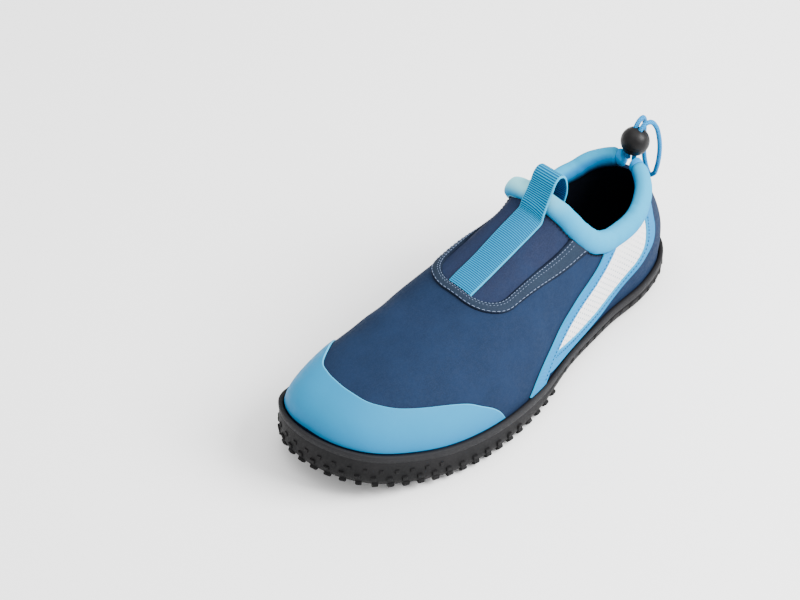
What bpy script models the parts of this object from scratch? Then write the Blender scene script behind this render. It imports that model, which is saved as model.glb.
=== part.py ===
"""A slip-on water shoe, the left one of a pair.

Metres. +X runs to the toe, +Y to the wearer's left, which is this shoe's outer side, and +Z up. The floor is
z = 0 and the origin lies under the middle of the shoe. While a piece is made, x counts from the heel's back.
"""

import math
from collections import namedtuple

import bmesh
import bpy
import numpy as np
from mathutils import Matrix, Vector

# The shoe's own sizes
LENGTH = 0.288
BALL_WIDTH = 0.105
INSTEP_HEIGHT = 0.097
CLEARANCE = 0.0003
FIT = 0.0005

# Sole
RIM_THICKNESS = 0.0028
SOLE_THICKNESS = 0.0050
NUB_HEIGHT = 0.0020
NUB_WIDTH = 0.0036
NUB_TAPER = 0.75
SIDE_NUB_DEPTH = 0.0019
RIDGE_WIDTH = 0.0042
CUP_MARGIN = 0.0040
INSOLE_THICKNESS = 0.0030

# Upper and what lies on it
UPPER_WALL = 0.0024
LEAN_REACH = 0.45
BULGE_START = 0.0010
BULGE_SPAN = 0.062
CAP_THICKNESS = 0.0008
TRIM_THICKNESS = 0.0011
MESH_THICKNESS = 0.0006
BAND_THICKNESS = 0.0010
BAND_LOWEST = 0.0620
TALLEST = 0.1300
BAND_WIDTH = 0.0058
ROLL_HEIGHT = 0.0138
ROLL_DEPTH = 0.0098
ROLL_SQUARENESS = 0.8

# Webbing, cord and lock
WEBBING_WIDTH = 0.0170
WEBBING_THICKNESS = 0.0012
WEBBING_ACROSS = 0.0010
CORD_DIAMETER = 0.0030
LOCK_DIAMETER = 0.0172
LOCK_PLACE = (0.0208, 0.0950)

# How many stations each form has
STATIONS = 28
LEVELS = (0, 0.035, 0.10, 0.21, 0.33, 0.46, 0.59, 0.71, 0.81, 0.88, 0.93, 0.97, 1.0)
BOTTOM_COLUMNS = 8
ROLL_STATIONS = 24
ROLL_SIDES = 10
WEBBING_COLUMNS = 5
SEWN_ROWS = 12
LOOP_ROWS = 26
CORD_POINTS = 38
# how far apart the places are that a slope is taken from: shares of the length and of the section, and a distance
STEP_ALONG = 0.006
STEP_ROUND = 0.04
STEP_ACROSS = 0.004
# the sines of a section's angle that are searched for a place across
SECTION_TOP = 0.3
SECTION_PLACES = 141

OutlineRow = namedtuple("OutlineRow", "share outer inner")
# share of LENGTH from the heel, and the outline's two half widths as shares of BALL_WIDTH
OUTLINE = (
    OutlineRow(0.000, 0.000, 0.000),
    OutlineRow(0.020, 0.133, 0.143),
    OutlineRow(0.070, 0.233, 0.248),
    OutlineRow(0.140, 0.290, 0.305),
    OutlineRow(0.260, 0.314, 0.314),
    OutlineRow(0.400, 0.390, 0.295),
    OutlineRow(0.540, 0.495, 0.352),
    OutlineRow(0.680, 0.533, 0.451),
    OutlineRow(0.790, 0.492, 0.470),
    OutlineRow(0.880, 0.403, 0.448),
    OutlineRow(0.950, 0.283, 0.386),
    OutlineRow(0.985, 0.139, 0.262),
    OutlineRow(1.000, -0.071, 0.071),
)

SoleRow = namedtuple("SoleRow", "share under side")
# share of LENGTH, the underside's height above its flat part, and the side's height above the underside
SOLE = (
    SoleRow(0.00, 0.0030, 0.0125),
    SoleRow(0.06, 0.0000, 0.0140),
    SoleRow(0.28, 0.0000, 0.0125),
    SoleRow(0.42, 0.0022, 0.0120),
    SoleRow(0.56, 0.0000, 0.0160),
    SoleRow(0.74, 0.0000, 0.0200),
    SoleRow(0.88, 0.0040, 0.0225),
    SoleRow(1.00, 0.0120, 0.0240),
)

WallRow = namedtuple("WallRow", "inset above height")
# the sole's outer side from the bottom up: its place in from the outline, and its height above the underside or rim
WALL = (
    WallRow(0.0050, "under", 0.0000),
    WallRow(0.0014, "under", 0.0022),
    WallRow(0.0002, "under", 0.0070),
    WallRow(0.0006, "rim", -0.0032),
    WallRow(0.0000, "rim", -0.0026),
    WallRow(0.0002, "rim", 0.0000),
)
# the side's nubs start at this share of LENGTH, and a nub needs a cell this many times its width
SIDE_NUBS_FROM = 0.50
NUB_ROOM = 1.35

UpperRow = namedtuple("UpperRow", "share ridge top outer_power inner_power outer_bulge inner_bulge")
# share of the upper's length, the ridge's place across as a share of BALL_WIDTH, the height of the section's top
# (over the opening it is the height that the two sides lean towards), how square each half of the section is, and
# how far each side swells past the sole
UPPER = (
    UpperRow(0.00, 0.000, 0.154, 2.6, 2.6, 0.0010, 0.0010),
    UpperRow(0.10, 0.000, 0.146, 2.6, 2.6, 0.0015, 0.0015),
    UpperRow(0.20, -0.010, 0.133, 2.6, 2.7, 0.0020, 0.0035),
    UpperRow(0.30, -0.030, 0.114, 2.5, 2.8, 0.0020, 0.0060),
    UpperRow(0.37, -0.050, 0.097, 2.4, 2.8, 0.0010, 0.0075),
    UpperRow(0.45, -0.065, 0.0885, 2.3, 2.8, 0.0000, 0.0075),
    UpperRow(0.55, -0.075, 0.0790, 2.3, 2.7, 0.0000, 0.0055),
    UpperRow(0.65, -0.075, 0.0715, 2.4, 2.6, 0.0000, 0.0025),
    UpperRow(0.75, -0.075, 0.0660, 2.5, 2.6, 0.0000, 0.0000),
    UpperRow(0.85, -0.075, 0.0600, 2.7, 2.9, 0.0000, 0.0000),
    UpperRow(0.92, -0.075, 0.0545, 2.8, 3.0, 0.0000, 0.0000),
    UpperRow(0.96, -0.073, 0.0492, 2.8, 3.0, 0.0000, 0.0000),
    UpperRow(0.985, -0.072, 0.0420, 2.8, 3.0, 0.0000, 0.0000),
    UpperRow(1.00, -0.071, 0.0190, 2.8, 3.0, 0.0000, 0.0000),
)
COLLAR_FRONT = 0.37
COLLAR_DIP = 0.20
FRONT_ROUNDING = 4.0

CollarRow = namedtuple("CollarRow", "share outer inner")
# share of the upper's length, and the height of the seam below the collar on each side
COLLAR = (
    CollarRow(0.00, 0.0745, 0.0745),
    CollarRow(0.06, 0.0690, 0.0700),
    CollarRow(0.12, 0.0625, 0.0650),
    CollarRow(0.20, 0.0590, 0.0635),
    CollarRow(0.26, 0.0610, 0.0670),
    CollarRow(0.31, 0.0690, 0.0760),
    CollarRow(0.345, 0.0810, 0.0865),
    CollarRow(0.37, 0.0970, 0.0970),
)

RollLeanRow = namedtuple("RollLeanRow", "share lean")
# share of the upper's length, and how many degrees the roll leans back from upright there
ROLL_LEAN = (
    RollLeanRow(0.00, -24),
    RollLeanRow(0.08, -16),
    RollLeanRow(0.16, -4),
    RollLeanRow(0.24, 14),
    RollLeanRow(0.31, 36),
    RollLeanRow(0.37, 54),
)
ROLL_TUCK = 0.16

LeanRow = namedtuple("LeanRow", "height shift")
# height, and how far the heel's back leans forward there
LEAN = (
    LeanRow(0.000, 0.000),
    LeanRow(0.018, 0.000),
    LeanRow(0.026, -0.0008),
    LeanRow(0.036, 0.000),
    LeanRow(0.050, 0.0045),
    LeanRow(0.062, 0.0100),
    LeanRow(0.072, 0.0155),
    LeanRow(0.090, 0.0250),
)

EdgeRow = namedtuple("EdgeRow", "share across")
# the toe cap's rear edge in plan: share of LENGTH, and place across as a share of BALL_WIDTH
CAP_EDGE = (
    EdgeRow(0.770, -0.560),
    EdgeRow(0.812, -0.430),
    EdgeRow(0.868, -0.300),
    EdgeRow(0.894, -0.130),
    EdgeRow(0.893, 0.040),
    EdgeRow(0.868, 0.190),
    EdgeRow(0.820, 0.330),
    EdgeRow(0.750, 0.420),
    EdgeRow(0.690, 0.490),
    EdgeRow(0.640, 0.600),
)

SideRow = namedtuple("SideRow", "share height")
# the side trim in side view, from the collar forward and down to the sole, then back under the mesh window
TRIM_EDGE = (
    SideRow(0.255, 0.0800),
    SideRow(0.300, 0.0650),
    SideRow(0.345, 0.0570),
    SideRow(0.410, 0.0470),
    SideRow(0.475, 0.0365),
    SideRow(0.540, 0.0270),
    SideRow(0.625, 0.0100),
    SideRow(0.580, 0.0080),
    SideRow(0.520, 0.0235),
    SideRow(0.430, 0.0195),
    SideRow(0.345, 0.0225),
    SideRow(0.260, 0.0285),
    SideRow(0.180, 0.0310),
    SideRow(0.135, 0.0350),
    SideRow(0.115, 0.0455),
    SideRow(0.120, 0.0590),
    SideRow(0.135, 0.0800),
)
MESH_EDGE = (
    SideRow(0.215, 0.0800),
    SideRow(0.262, 0.0600),
    SideRow(0.313, 0.0540),
    SideRow(0.370, 0.0460),
    SideRow(0.425, 0.0380),
    SideRow(0.470, 0.0305),
    SideRow(0.430, 0.0275),
    SideRow(0.360, 0.0290),
    SideRow(0.267, 0.0350),
    SideRow(0.190, 0.0385),
    SideRow(0.155, 0.0410),
    SideRow(0.145, 0.0500),
    SideRow(0.155, 0.0800),
)

# the panel band in plan: its front and rear as shares of LENGTH, its two sides and the radius of its corners
BAND_FRONT = 0.612
BAND_REAR = 0.305
BAND_OUTER_SIDE = 0.0285
BAND_INNER_SIDE = -0.0300
BAND_CORNER = 0.0220

RollRow = namedtuple("RollRow", "up out")
# the webbing's run over the collar: up along the roll from its seam, and out from the upper's surface
LOOP_PATH = (
    RollRow(0.0005, 0.0034),
    RollRow(0.0070, 0.0056),
    RollRow(0.0120, 0.0078),
    RollRow(0.0165, 0.0100),
    RollRow(0.0202, 0.0098),
    RollRow(0.0220, 0.0064),
    RollRow(0.0208, 0.0010),
    RollRow(0.0165, -0.0055),
    RollRow(0.0105, -0.0090),
    RollRow(0.0040, -0.0100),
)
WEBBING_FRONT = 0.584
# the sewn part's rear as a share of the upper's length past the collar, and how far up the roll the webbing lies flat
SEWN_REAR = 0.014
FLAT_FROM = 0.006

CordRow = namedtuple("CordRow", "x across z")
# one half of the cord, from the collar's end up through the lock and round the hanging loop
CORD = (
    CordRow(0.0236, 0.0021, 0.0825),
    CordRow(0.0232, 0.0021, 0.0880),
    CordRow(0.0208, 0.0019, 0.0950),
    CordRow(0.0188, 0.0019, 0.1030),
    CordRow(0.0156, 0.0022, 0.1072),
    CordRow(0.0112, 0.0032, 0.1070),
    CordRow(0.0078, 0.0044, 0.1018),
    CordRow(0.0060, 0.0056, 0.0932),
    CordRow(0.0052, 0.0062, 0.0844),
    CordRow(0.0050, 0.0058, 0.0760),
    CordRow(0.0048, 0.0044, 0.0680),
    CordRow(0.0046, 0.0024, 0.0625),
)
CORD_BOTTOM = CordRow(0.0052, 0.0000, 0.0607)


def column(table, name):
    return np.array([getattr(row, name) for row in table])


def smooth(at, places, values, steady=False):
    """The smooth curve through a table's values: cubic pieces whose slopes come from each row's neighbours.

    A steady one never passes beyond its rows, so that a flat stretch stays flat.
    """
    gaps = np.diff(places)
    chords = np.diff(values) / gaps
    slopes = np.empty(len(values))
    slopes[1:-1] = (chords[:-1] * gaps[1:] + chords[1:] * gaps[:-1]) / (gaps[:-1] + gaps[1:])
    slopes[0] = 1.5 * chords[0] - 0.5 * slopes[1]
    slopes[-1] = 1.5 * chords[-1] - 0.5 * slopes[-2]
    if steady:
        least = np.minimum(np.abs(chords[:-1]), np.abs(chords[1:]))
        level = chords[:-1] * chords[1:] <= 0
        slopes[1:-1] = np.where(level, 0, np.clip(slopes[1:-1], -3 * least, 3 * least))
        slopes[0] = chords[0]
        slopes[-1] = chords[-1]
    at = np.clip(at, places[0], places[-1])
    row = np.clip(np.searchsorted(places, at, side="right") - 1, 0, len(gaps) - 1)
    u = (at - places[row]) / gaps[row]
    here = values[row] * (1 + 2 * u) * (1 - u) ** 2 + values[row + 1] * u**2 * (3 - 2 * u)
    return here + gaps[row] * (slopes[row] * u * (1 - u) ** 2 - slopes[row + 1] * u**2 * (1 - u))


def looked_up(table, name, share):
    return smooth(share, column(table, "share"), column(table, name), steady=True)


def turn(share):
    """The share of the length as an angle's share, in which a round end becomes a straight line."""
    return np.arccos(np.clip(1 - 2 * np.asarray(share, float), -1, 1)) / math.pi


def share_at(turned):
    return (1 - np.cos(math.pi * np.asarray(turned, float))) / 2


def rounded(table, name, share):
    """A column that may fall to nothing at the ends, read so that it ends in a round and not in a point."""
    return smooth(turn(share), turn(column(table, "share")), column(table, name))


def along_curve(points, count):
    """A smooth run of count points through the given ones, spaced by their distance."""
    points = np.array(points, float)
    steps = np.linalg.norm(np.diff(points, axis=0), axis=1)
    places = np.concatenate([[0], np.cumsum(steps)])
    at = np.linspace(0, places[-1], count)
    return np.stack([smooth(at, places, points[:, axis]) for axis in range(points.shape[1])], axis=1)


def outline_ring(inset, stations=STATIONS):
    """The sole's outline moved in by a distance: the outer side from heel to toe, then the inner side back."""
    dense = 400
    turned = np.linspace(0, 1, dense + 1)
    share = share_at(turned)
    outer = rounded(OUTLINE, "outer", share) * BALL_WIDTH
    inner = -rounded(OUTLINE, "inner", share) * BALL_WIDTH
    x = share * LENGTH
    ring = np.concatenate([np.stack([x, outer], 1), np.stack([x, inner], 1)[-2:0:-1]])
    along = np.roll(ring, -1, axis=0) - np.roll(ring, 1, axis=0)
    inward = np.stack([along[:, 1], -along[:, 0]], 1)
    inward /= np.linalg.norm(inward, axis=1)[:, None]
    ring = ring + inward * inset
    low, high = ring[0], ring[dense]
    new_turned = turn(np.clip((ring[:, 0] - low[0]) / (high[0] - low[0]), 0, 1))
    wanted = np.linspace(0, 1, stations + 1)
    outer = np.interp(wanted, new_turned[: dense + 1], ring[: dense + 1, 1])
    back = np.concatenate([ring[dense:], ring[:1]])
    back_turned = np.concatenate([new_turned[dense:], new_turned[:1]])
    inner = np.interp(wanted, back_turned[::-1], back[::-1, 1])
    x = low[0] + share_at(wanted) * (high[0] - low[0])
    return np.concatenate([np.stack([x, outer], 1), np.stack([x, inner], 1)[-2:0:-1]])


def under_height(x):
    return NUB_HEIGHT + looked_up(SOLE, "under", x / LENGTH)


def rim_height(x):
    return under_height(x) + looked_up(SOLE, "side", x / LENGTH)


def cup_floor(x):
    return under_height(x) + SOLE_THICKNESS


class Body:
    """Points and faces gathered for one mesh."""

    def __init__(self):
        self.points = []
        self.faces = []

    def add(self, points):
        first = len(self.points)
        self.points.extend(tuple(map(float, point)) for point in points)
        return list(range(first, first + len(points)))

    def band(self, low, high, closed=True):
        """Quads between two rows of points, facing out where the rows run anticlockwise seen from above."""
        count = len(low)
        for i in range(count if closed else count - 1):
            j = (i + 1) % count
            self.faces.append((low[i], low[j], high[j], high[i]))

    def ladder(self, ring, rows, flip):
        """Quads across a ring of stations, and a triangle fan at each tip; rows hold the points between the sides."""
        half = len(ring) // 2
        whole = [[ring[i]] + rows[i - 1] + [ring[-i]] for i in range(1, half)]
        for first, second in zip(whole, whole[1:]):
            for j in range(len(first) - 1):
                self.add_face((first[j], second[j], second[j + 1], first[j + 1]), flip)
        for j in range(len(whole[0]) - 1):
            self.add_face((ring[0], whole[0][j], whole[0][j + 1]), flip)
            self.add_face((ring[half], whole[-1][j + 1], whole[-1][j]), flip)
        return whole

    def add_face(self, face, flip):
        self.faces.append(tuple(reversed(face)) if flip else tuple(face))


def new_object(name, body, collection):
    mesh = bpy.data.meshes.new(name)
    mesh.from_pydata(body.points, [], body.faces)
    mesh.update()
    thing = bpy.data.objects.new(name, mesh)
    collection.objects.link(thing)
    return thing


def paint(thing, colour, roughness):
    material = bpy.data.materials.new(thing.name)
    material.use_nodes = True
    shader = material.node_tree.nodes["Principled BSDF"]
    shader.inputs["Base Color"].default_value = (*colour, 1)
    shader.inputs["Roughness"].default_value = roughness
    thing.data.materials.append(material)


def ring_with_height(inset, height):
    ring = outline_ring(inset)
    return np.column_stack([ring, height(ring[:, 0])])


def nub(body, corners, flip, push, width):
    """Replaces one quad by a small tapered cube that stands out by push from the quad's middle."""
    points = [Vector(body.points[i]) for i in corners]
    middle = sum(points, Vector()) / 4
    along = ((points[1] + points[2]) - (points[0] + points[3])).normalized()
    across = ((points[2] + points[3]) - (points[0] + points[1])).normalized()
    signs = ((-1, -1), (1, -1), (1, 1), (-1, 1))
    foot = [middle + (along * a + across * b) * width / 2 for a, b in signs]
    tip = [middle + push + (along * a + across * b) * width / 2 * NUB_TAPER for a, b in signs]
    foot, tip = body.add(foot), body.add(tip)
    for low, high in ((corners, foot), (foot, tip)):
        for i in range(4):
            j = (i + 1) % 4
            body.add_face((low[i], low[j], high[j], high[i]), flip)
    body.add_face(tip, flip)


# The ball's medallion: three nested ridges with round corners
MEDALLION = ((0.835, -0.100), (0.540, -0.340), (0.540, 0.350))
MEDALLION_CORNER = 0.0160
MEDALLION_STEP = 0.0066
MEDALLION_MARGIN = 0.0030
# the heel plate's rear and front as shares of LENGTH with the room kept free round them, and half its width
PLATE_REAR = 0.075
PLATE_FRONT = 0.205
PLATE_MARGIN = 0.030
PLATE_HALF = 0.0130
# how deep a ridge or the plate is set in the sole, and a ridge's half widths there and at its face, as shares
SET_IN = 0.0020
RIDGE_FOOT = 0.50
RIDGE_FACE = 0.36


def rounded_triangle(shrink, steps=5):
    """The medallion's outline moved in by shrink, with each corner an arc."""
    corners = [Vector((s * LENGTH, a * BALL_WIDTH)) for s, a in MEDALLION]
    points = []
    for i in range(3):
        here = corners[i]
        to_last = (corners[i - 1] - here).normalized()
        to_next = (corners[(i + 1) % 3] - here).normalized()
        half_angle = to_last.angle(to_next) / 2
        inward = (to_last + to_next).normalized()
        centre = here + inward * (MEDALLION_CORNER / math.sin(half_angle))
        reach = MEDALLION_CORNER - shrink
        start = -to_last.orthogonal() if to_last.orthogonal().dot(to_next) > 0 else to_last.orthogonal()
        end = -to_next.orthogonal() if to_next.orthogonal().dot(to_last) > 0 else to_next.orthogonal()
        first, last = math.atan2(start.y, start.x), math.atan2(end.y, end.x)
        sweep = (last - first + math.pi) % (2 * math.pi) - math.pi
        for k in range(steps + 1):
            angle = first + sweep * k / steps
            points.append(centre + Vector((math.cos(angle), math.sin(angle))) * reach)
    return points


def in_medallion(x, y, grow):
    """Whether a place lies inside the medallion's straight-sided triangle, made larger by grow."""
    corners = [Vector((s * LENGTH, a * BALL_WIDTH)) for s, a in MEDALLION]
    here = Vector((x, y))
    inside = True
    for i in range(3):
        a, b = corners[i], corners[(i + 1) % 3]
        edge = (b - a).normalized()
        distance = edge.x * (here - a).y - edge.y * (here - a).x
        centre = sum(corners, Vector((0, 0))) / 3
        side = edge.x * (centre - a).y - edge.y * (centre - a).x
        inside &= distance * math.copysign(1, side) > -grow
    return inside


def build_outsole(collection):
    body = Body()
    feet = {"under": under_height, "rim": rim_height}
    side_rings = [ring_with_height(row.inset, lambda x: feet[row.above](x) + row.height) for row in WALL]
    side_rings.append(ring_with_height(RIM_THICKNESS, rim_height))
    side_rings.append(ring_with_height(RIM_THICKNESS, cup_floor))
    rings = [body.add(ring) for ring in side_rings]
    ring = outline_ring(WALL[0].inset)
    rows = []
    for i in range(1, STATIONS):
        a, b = ring[i], ring[-i]
        steps = [a + (b - a) * k / BOTTOM_COLUMNS for k in range(1, BOTTOM_COLUMNS)]
        rows.append(body.add([(x, y, under_height(np.array(x))) for x, y in steps]))
    grid = [[rings[0][i]] + rows[i - 1] + [rings[0][-i]] for i in range(1, STATIONS)]
    down = Vector((0, 0, -NUB_HEIGHT))
    for i, (first, second) in enumerate(zip(grid, grid[1:])):
        for j in range(BOTTOM_COLUMNS):
            corners = (first[j], second[j], second[j + 1], first[j + 1])
            middle = sum((Vector(body.points[k]) for k in corners), Vector()) / 4
            share = middle.x / LENGTH
            length = (Vector(body.points[corners[1]]) - Vector(body.points[corners[0]])).length
            width = (Vector(body.points[corners[2]]) - Vector(body.points[corners[1]])).length
            room = min(length, width) > NUB_WIDTH * NUB_ROOM
            in_rings = in_medallion(middle.x, middle.y, MEDALLION_MARGIN)
            in_middle = in_medallion(middle.x, middle.y, -2 * MEDALLION_STEP - 1.5 * RIDGE_WIDTH)
            on_ridges = in_rings and not in_middle
            near_plate = PLATE_REAR - PLATE_MARGIN < share < PLATE_FRONT + PLATE_MARGIN
            on_plate = near_plate and abs(middle.y) < PLATE_HALF + NUB_WIDTH
            if room and not on_ridges and not on_plate and (i + j) % 2:
                nub(body, corners, False, down, NUB_WIDTH)
            else:
                body.add_face(corners, False)
    for j in range(BOTTOM_COLUMNS):
        body.add_face((rings[0][0], grid[0][j], grid[0][j + 1]), False)
        body.add_face((rings[0][STATIONS], grid[-1][j + 1], grid[-1][j]), False)
    count = 2 * STATIONS
    for low, high in zip(rings, rings[1:]):
        for i in range(count):
            j = (i + 1) % count
            x = (body.points[low[i]][0] + body.points[low[j]][0]) / 2
            corners = (low[j], low[i], high[i], high[j])
            if low is rings[1] and x > SIDE_NUBS_FROM * LENGTH:
                a, b = (Vector(body.points[k]) for k in (low[i], low[j]))
                out = Vector((-(b - a).y, (b - a).x, 0)).normalized()
                nub(body, corners, False, out * SIDE_NUB_DEPTH, NUB_WIDTH)
            else:
                body.add_face(corners, False)
    floor_ring = side_rings[-1]
    rows = []
    for i in range(1, STATIONS):
        a, b = floor_ring[i], floor_ring[-i]
        rows.append(body.add([a + (b - a) * k / 2 for k in range(1, 2)]))
    body.ladder(rings[-1], rows, True)
    sole = new_object("outsole", body, collection)
    cutters = bpy.data.collections["cutters"]
    for number in range(3):
        ridge = build_ridge(f"ridge_{number}", number * MEDALLION_STEP, cutters)
        join(sole, ridge, "UNION")
    join(sole, build_heel_plate(cutters), "UNION")
    paint(sole, (0.045, 0.043, 0.046), 0.62)
    return sole


def prism(name, outline, axis, low, high, collection):
    """A solid with the given outline, which runs between two places on the axis across it."""
    body = Body()

    def place(point, at):
        if axis == "z":
            return (point[0], point[1], at)
        return (point[0], at, point[1])

    bottom = body.add([place(point, low) for point in outline])
    top = body.add([place(point, high) for point in outline])
    count = len(outline)
    for i in range(count):
        j = (i + 1) % count
        body.faces.append((bottom[i], bottom[j], top[j], top[i]))
    body.faces.append(tuple(reversed(bottom)))
    body.faces.append(tuple(top))
    thing = new_object(name, body, collection)
    face_outward(thing)
    thing.hide_render = True
    thing.display_type = "WIRE"
    return thing


def face_outward(thing):
    work = bmesh.new()
    work.from_mesh(thing.data)
    bmesh.ops.recalc_face_normals(work, faces=work.faces)
    work.to_mesh(thing.data)
    work.free()


def build_ridge(name, shrink, collection):
    """One closed ridge of the medallion, flat below and narrower there."""
    line = rounded_triangle(shrink)
    count = len(line)
    body = Body()
    rows = []
    for depth, half in ((NUB_HEIGHT + SET_IN, RIDGE_FOOT), (0, RIDGE_FACE)):
        for side in (-1, 1):
            ring = []
            for i in range(count):
                along = (line[(i + 1) % count] - line[i - 1]).normalized()
                across = Vector((-along.y, along.x))
                point = line[i] + across * side * half * RIDGE_WIDTH
                ring.append((point.x, point.y, depth))
            rows.append(body.add(ring))
    top_in, top_out, low_in, low_out = rows
    for a, b in ((top_in, top_out), (top_out, low_out), (low_out, low_in), (low_in, top_in)):
        body.band(a, b)
    ridge = new_object(name, body, collection)
    face_outward(ridge)
    ridge.hide_render = True
    ridge.display_type = "WIRE"
    return ridge


def build_heel_plate(collection):
    """The smooth long plate under the heel, level with the nubs' ends."""
    outline = []
    for end, start in ((PLATE_FRONT * LENGTH - PLATE_HALF, -90), (PLATE_REAR * LENGTH + PLATE_HALF, 90)):
        for k in range(9):
            angle = math.radians(start + 180 * k / 8)
            outline.append((end + PLATE_HALF * math.cos(angle), PLATE_HALF * math.sin(angle)))
    return prism("heel_plate", outline, "z", 0, NUB_HEIGHT + SET_IN, collection)


def join(thing, other, operation, solver="EXACT"):
    cut = thing.modifiers.new(other.name, "BOOLEAN")
    cut.operation = operation
    cut.object = other
    cut.solver = solver


def build_insole(collection):
    body = Body()
    inset = RIM_THICKNESS + FIT + UPPER_WALL + FIT
    low = ring_with_height(inset, lambda x: cup_floor(x) + CLEARANCE)
    high = low.copy()
    high[:, 2] += INSOLE_THICKNESS
    rings = [body.add(low), body.add(high)]
    for i in range(2 * STATIONS):
        j = (i + 1) % (2 * STATIONS)
        body.faces.append((rings[0][j], rings[0][i], rings[1][i], rings[1][j]))
    for ring, points, flip in ((rings[0], low, False), (rings[1], high, True)):
        rows = [body.add([(points[i] + points[-i]) / 2]) for i in range(1, STATIONS)]
        body.ladder(ring, rows, flip)
    insole = new_object("insole", body, collection)
    paint(insole, (0.03, 0.035, 0.045), 0.9)
    return insole


class UpperForm:
    """The upper's outer surface: sections across the foot, crossed by levels that run from sole to collar."""

    def __init__(self):
        self.inset = RIM_THICKNESS + FIT
        ring = outline_ring(self.inset, 200)
        self.low, self.high = ring[0, 0], ring[200, 0]
        self.turned = np.linspace(0, 1, 201)
        self.outer = ring[:201, 1]
        self.inner = np.concatenate([ring[200:], ring[:1]])[::-1, 1]

    def x_of(self, share):
        return self.low + share * (self.high - self.low)

    def sine_at(self, level, share, side):
        """The sine of the section's angle where a level's line crosses it.

        The top level is the seam below the collar. The ones under it are drawn out ahead of the collar's lowest
        place, and each turns over the ridge at its own front with a round tip.
        """
        front = 1 - level**2 * (1 - COLLAR_FRONT)
        drawn_out = COLLAR_DIP + (share - COLLAR_DIP) * (COLLAR_FRONT - COLLAR_DIP) / (front - COLLAR_DIP)
        seam_share = np.where(share < COLLAR_DIP, share, drawn_out)
        name = "outer" if side > 0 else "inner"
        base = cup_floor(self.x_of(seam_share)) + CLEARANCE
        power = looked_up(UPPER, name + "_power", seam_share)
        seam = looked_up(COLLAR, name, seam_share) * INSTEP_HEIGHT / COLLAR[-1].outer
        sine = level * np.clip((seam - base) / (self.top(seam_share) - base), 0, 1) ** (power / 2)
        if 0 < level < 1:
            tip = (share / front) ** (FRONT_ROUNDING / (level * (1 - level)))
            sine = sine * (1 - tip) + tip
        return sine

    def top(self, share):
        return rounded(UPPER, "top", share) * INSTEP_HEIGHT / COLLAR[-1].outer

    def point(self, share, side, sine):
        """The surface's point at a share of the length, on a side, where the section's angle has this sine."""
        x = self.x_of(share)
        base = cup_floor(x) + CLEARANCE
        height = np.maximum(self.top(share) - base, CLEARANCE)
        name = "outer" if side > 0 else "inner"
        power = looked_up(UPPER, name + "_power", share)
        ridge = rounded(UPPER, "ridge", share) * BALL_WIDTH
        edge = np.interp(turn(share), self.turned, self.outer if side > 0 else self.inner)
        sine = np.clip(sine, 0, 1)
        up = sine ** (2 / power)
        across = (1 - sine**2) ** (1 / power)
        z = base + height * up
        swell = np.clip((z - rim_height(x) - BULGE_START) / BULGE_SPAN, 0, 1)
        bulge = looked_up(UPPER, name + "_bulge", share)
        y = ridge + (edge - ridge) * across + side * bulge * 4 * swell * (1 - swell) * across
        fade = np.clip(1 - share / LEAN_REACH, 0, 1) ** 2
        shift = smooth(z, column(LEAN, "height"), column(LEAN, "shift"), steady=True) * fade
        return np.stack([x + shift, y, z], axis=-1)

    def normal(self, share, side, sine):
        """The way out of the surface there, from its slopes along the shoe and round the section."""
        turned = turn(share)
        angle = np.arcsin(np.clip(sine, 0, 1))

        def beside(along, round_section):
            near_angle = np.clip(angle + round_section, 0, math.pi / 2)
            return self.point(share_at(np.clip(turned + along, 0, 1)), side, np.sin(near_angle))

        along = beside(STEP_ALONG, 0) - beside(-STEP_ALONG, 0)
        around = beside(0, STEP_ROUND) - beside(0, -STEP_ROUND)
        normal = side * np.cross(around, along)
        return normal / np.linalg.norm(normal, axis=-1)[..., None]

    def ring(self, level, stations=STATIONS, offset=0):
        """One level's ring of points, moved out by an offset: the outer side from heel to front, then the inner back."""
        front = 1 - level**2 * (1 - COLLAR_FRONT)
        share = front * share_at(np.linspace(0, 1, stations + 1))
        rows = []
        for side in (1, -1):
            sine = self.sine_at(level, share, side)
            rows.append(self.point(share, side, sine) + self.normal(share, side, sine) * offset)
        return np.concatenate([rows[0], rows[1][-2:0:-1]])

    def wall(self, inside, outside):
        """The closed wall between two offsets. Each cell is split along its shorter diagonal, which leans to the heel."""
        body = Body()
        skins = []
        for offset in (inside, outside):
            rings = [body.add(self.ring(level, STATIONS, offset)) for level in LEVELS]
            skins.append(rings)
            for low, high in zip(rings, rings[1:]):
                for i in range(2 * STATIONS):
                    j = (i + 1) % (2 * STATIONS)
                    if i < STATIONS:
                        body.add_face((low[j], low[i], high[j]), offset == inside)
                        body.add_face((low[i], high[i], high[j]), offset == inside)
                    else:
                        body.add_face((low[j], low[i], high[i]), offset == inside)
                        body.add_face((low[j], high[i], high[j]), offset == inside)
        inner, outer = skins
        body.band(outer[0], inner[0])
        body.band(inner[-1], outer[-1])
        return body


def build_upper(form, collection, collar_space):
    upper = new_object("upper", form.wall(-UPPER_WALL, 0), collection)
    join(upper, collar_space, "DIFFERENCE", "MANIFOLD")
    paint(upper, (0.045, 0.10, 0.21), 0.85)
    return upper


def overlay(name, form, collection, lift, thickness, keep, drops, colour, roughness):
    """A thin piece over the upper: the upper's own form moved out, then cut by what it keeps and drops."""
    piece = new_object(name, form.wall(lift, lift + thickness), collection)
    join(piece, keep, "INTERSECT", "MANIFOLD")
    for drop in drops:
        join(piece, drop, "DIFFERENCE", "MANIFOLD")
    paint(piece, colour, roughness)
    return piece


def cap_outline():
    line = [(row.share * LENGTH, row.across * BALL_WIDTH) for row in CAP_EDGE]
    rear = [tuple(point) for point in along_curve(line, 24)]
    return rear + [(LENGTH + 0.02, rear[-1][1]), (LENGTH + 0.02, rear[0][1])]


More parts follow.
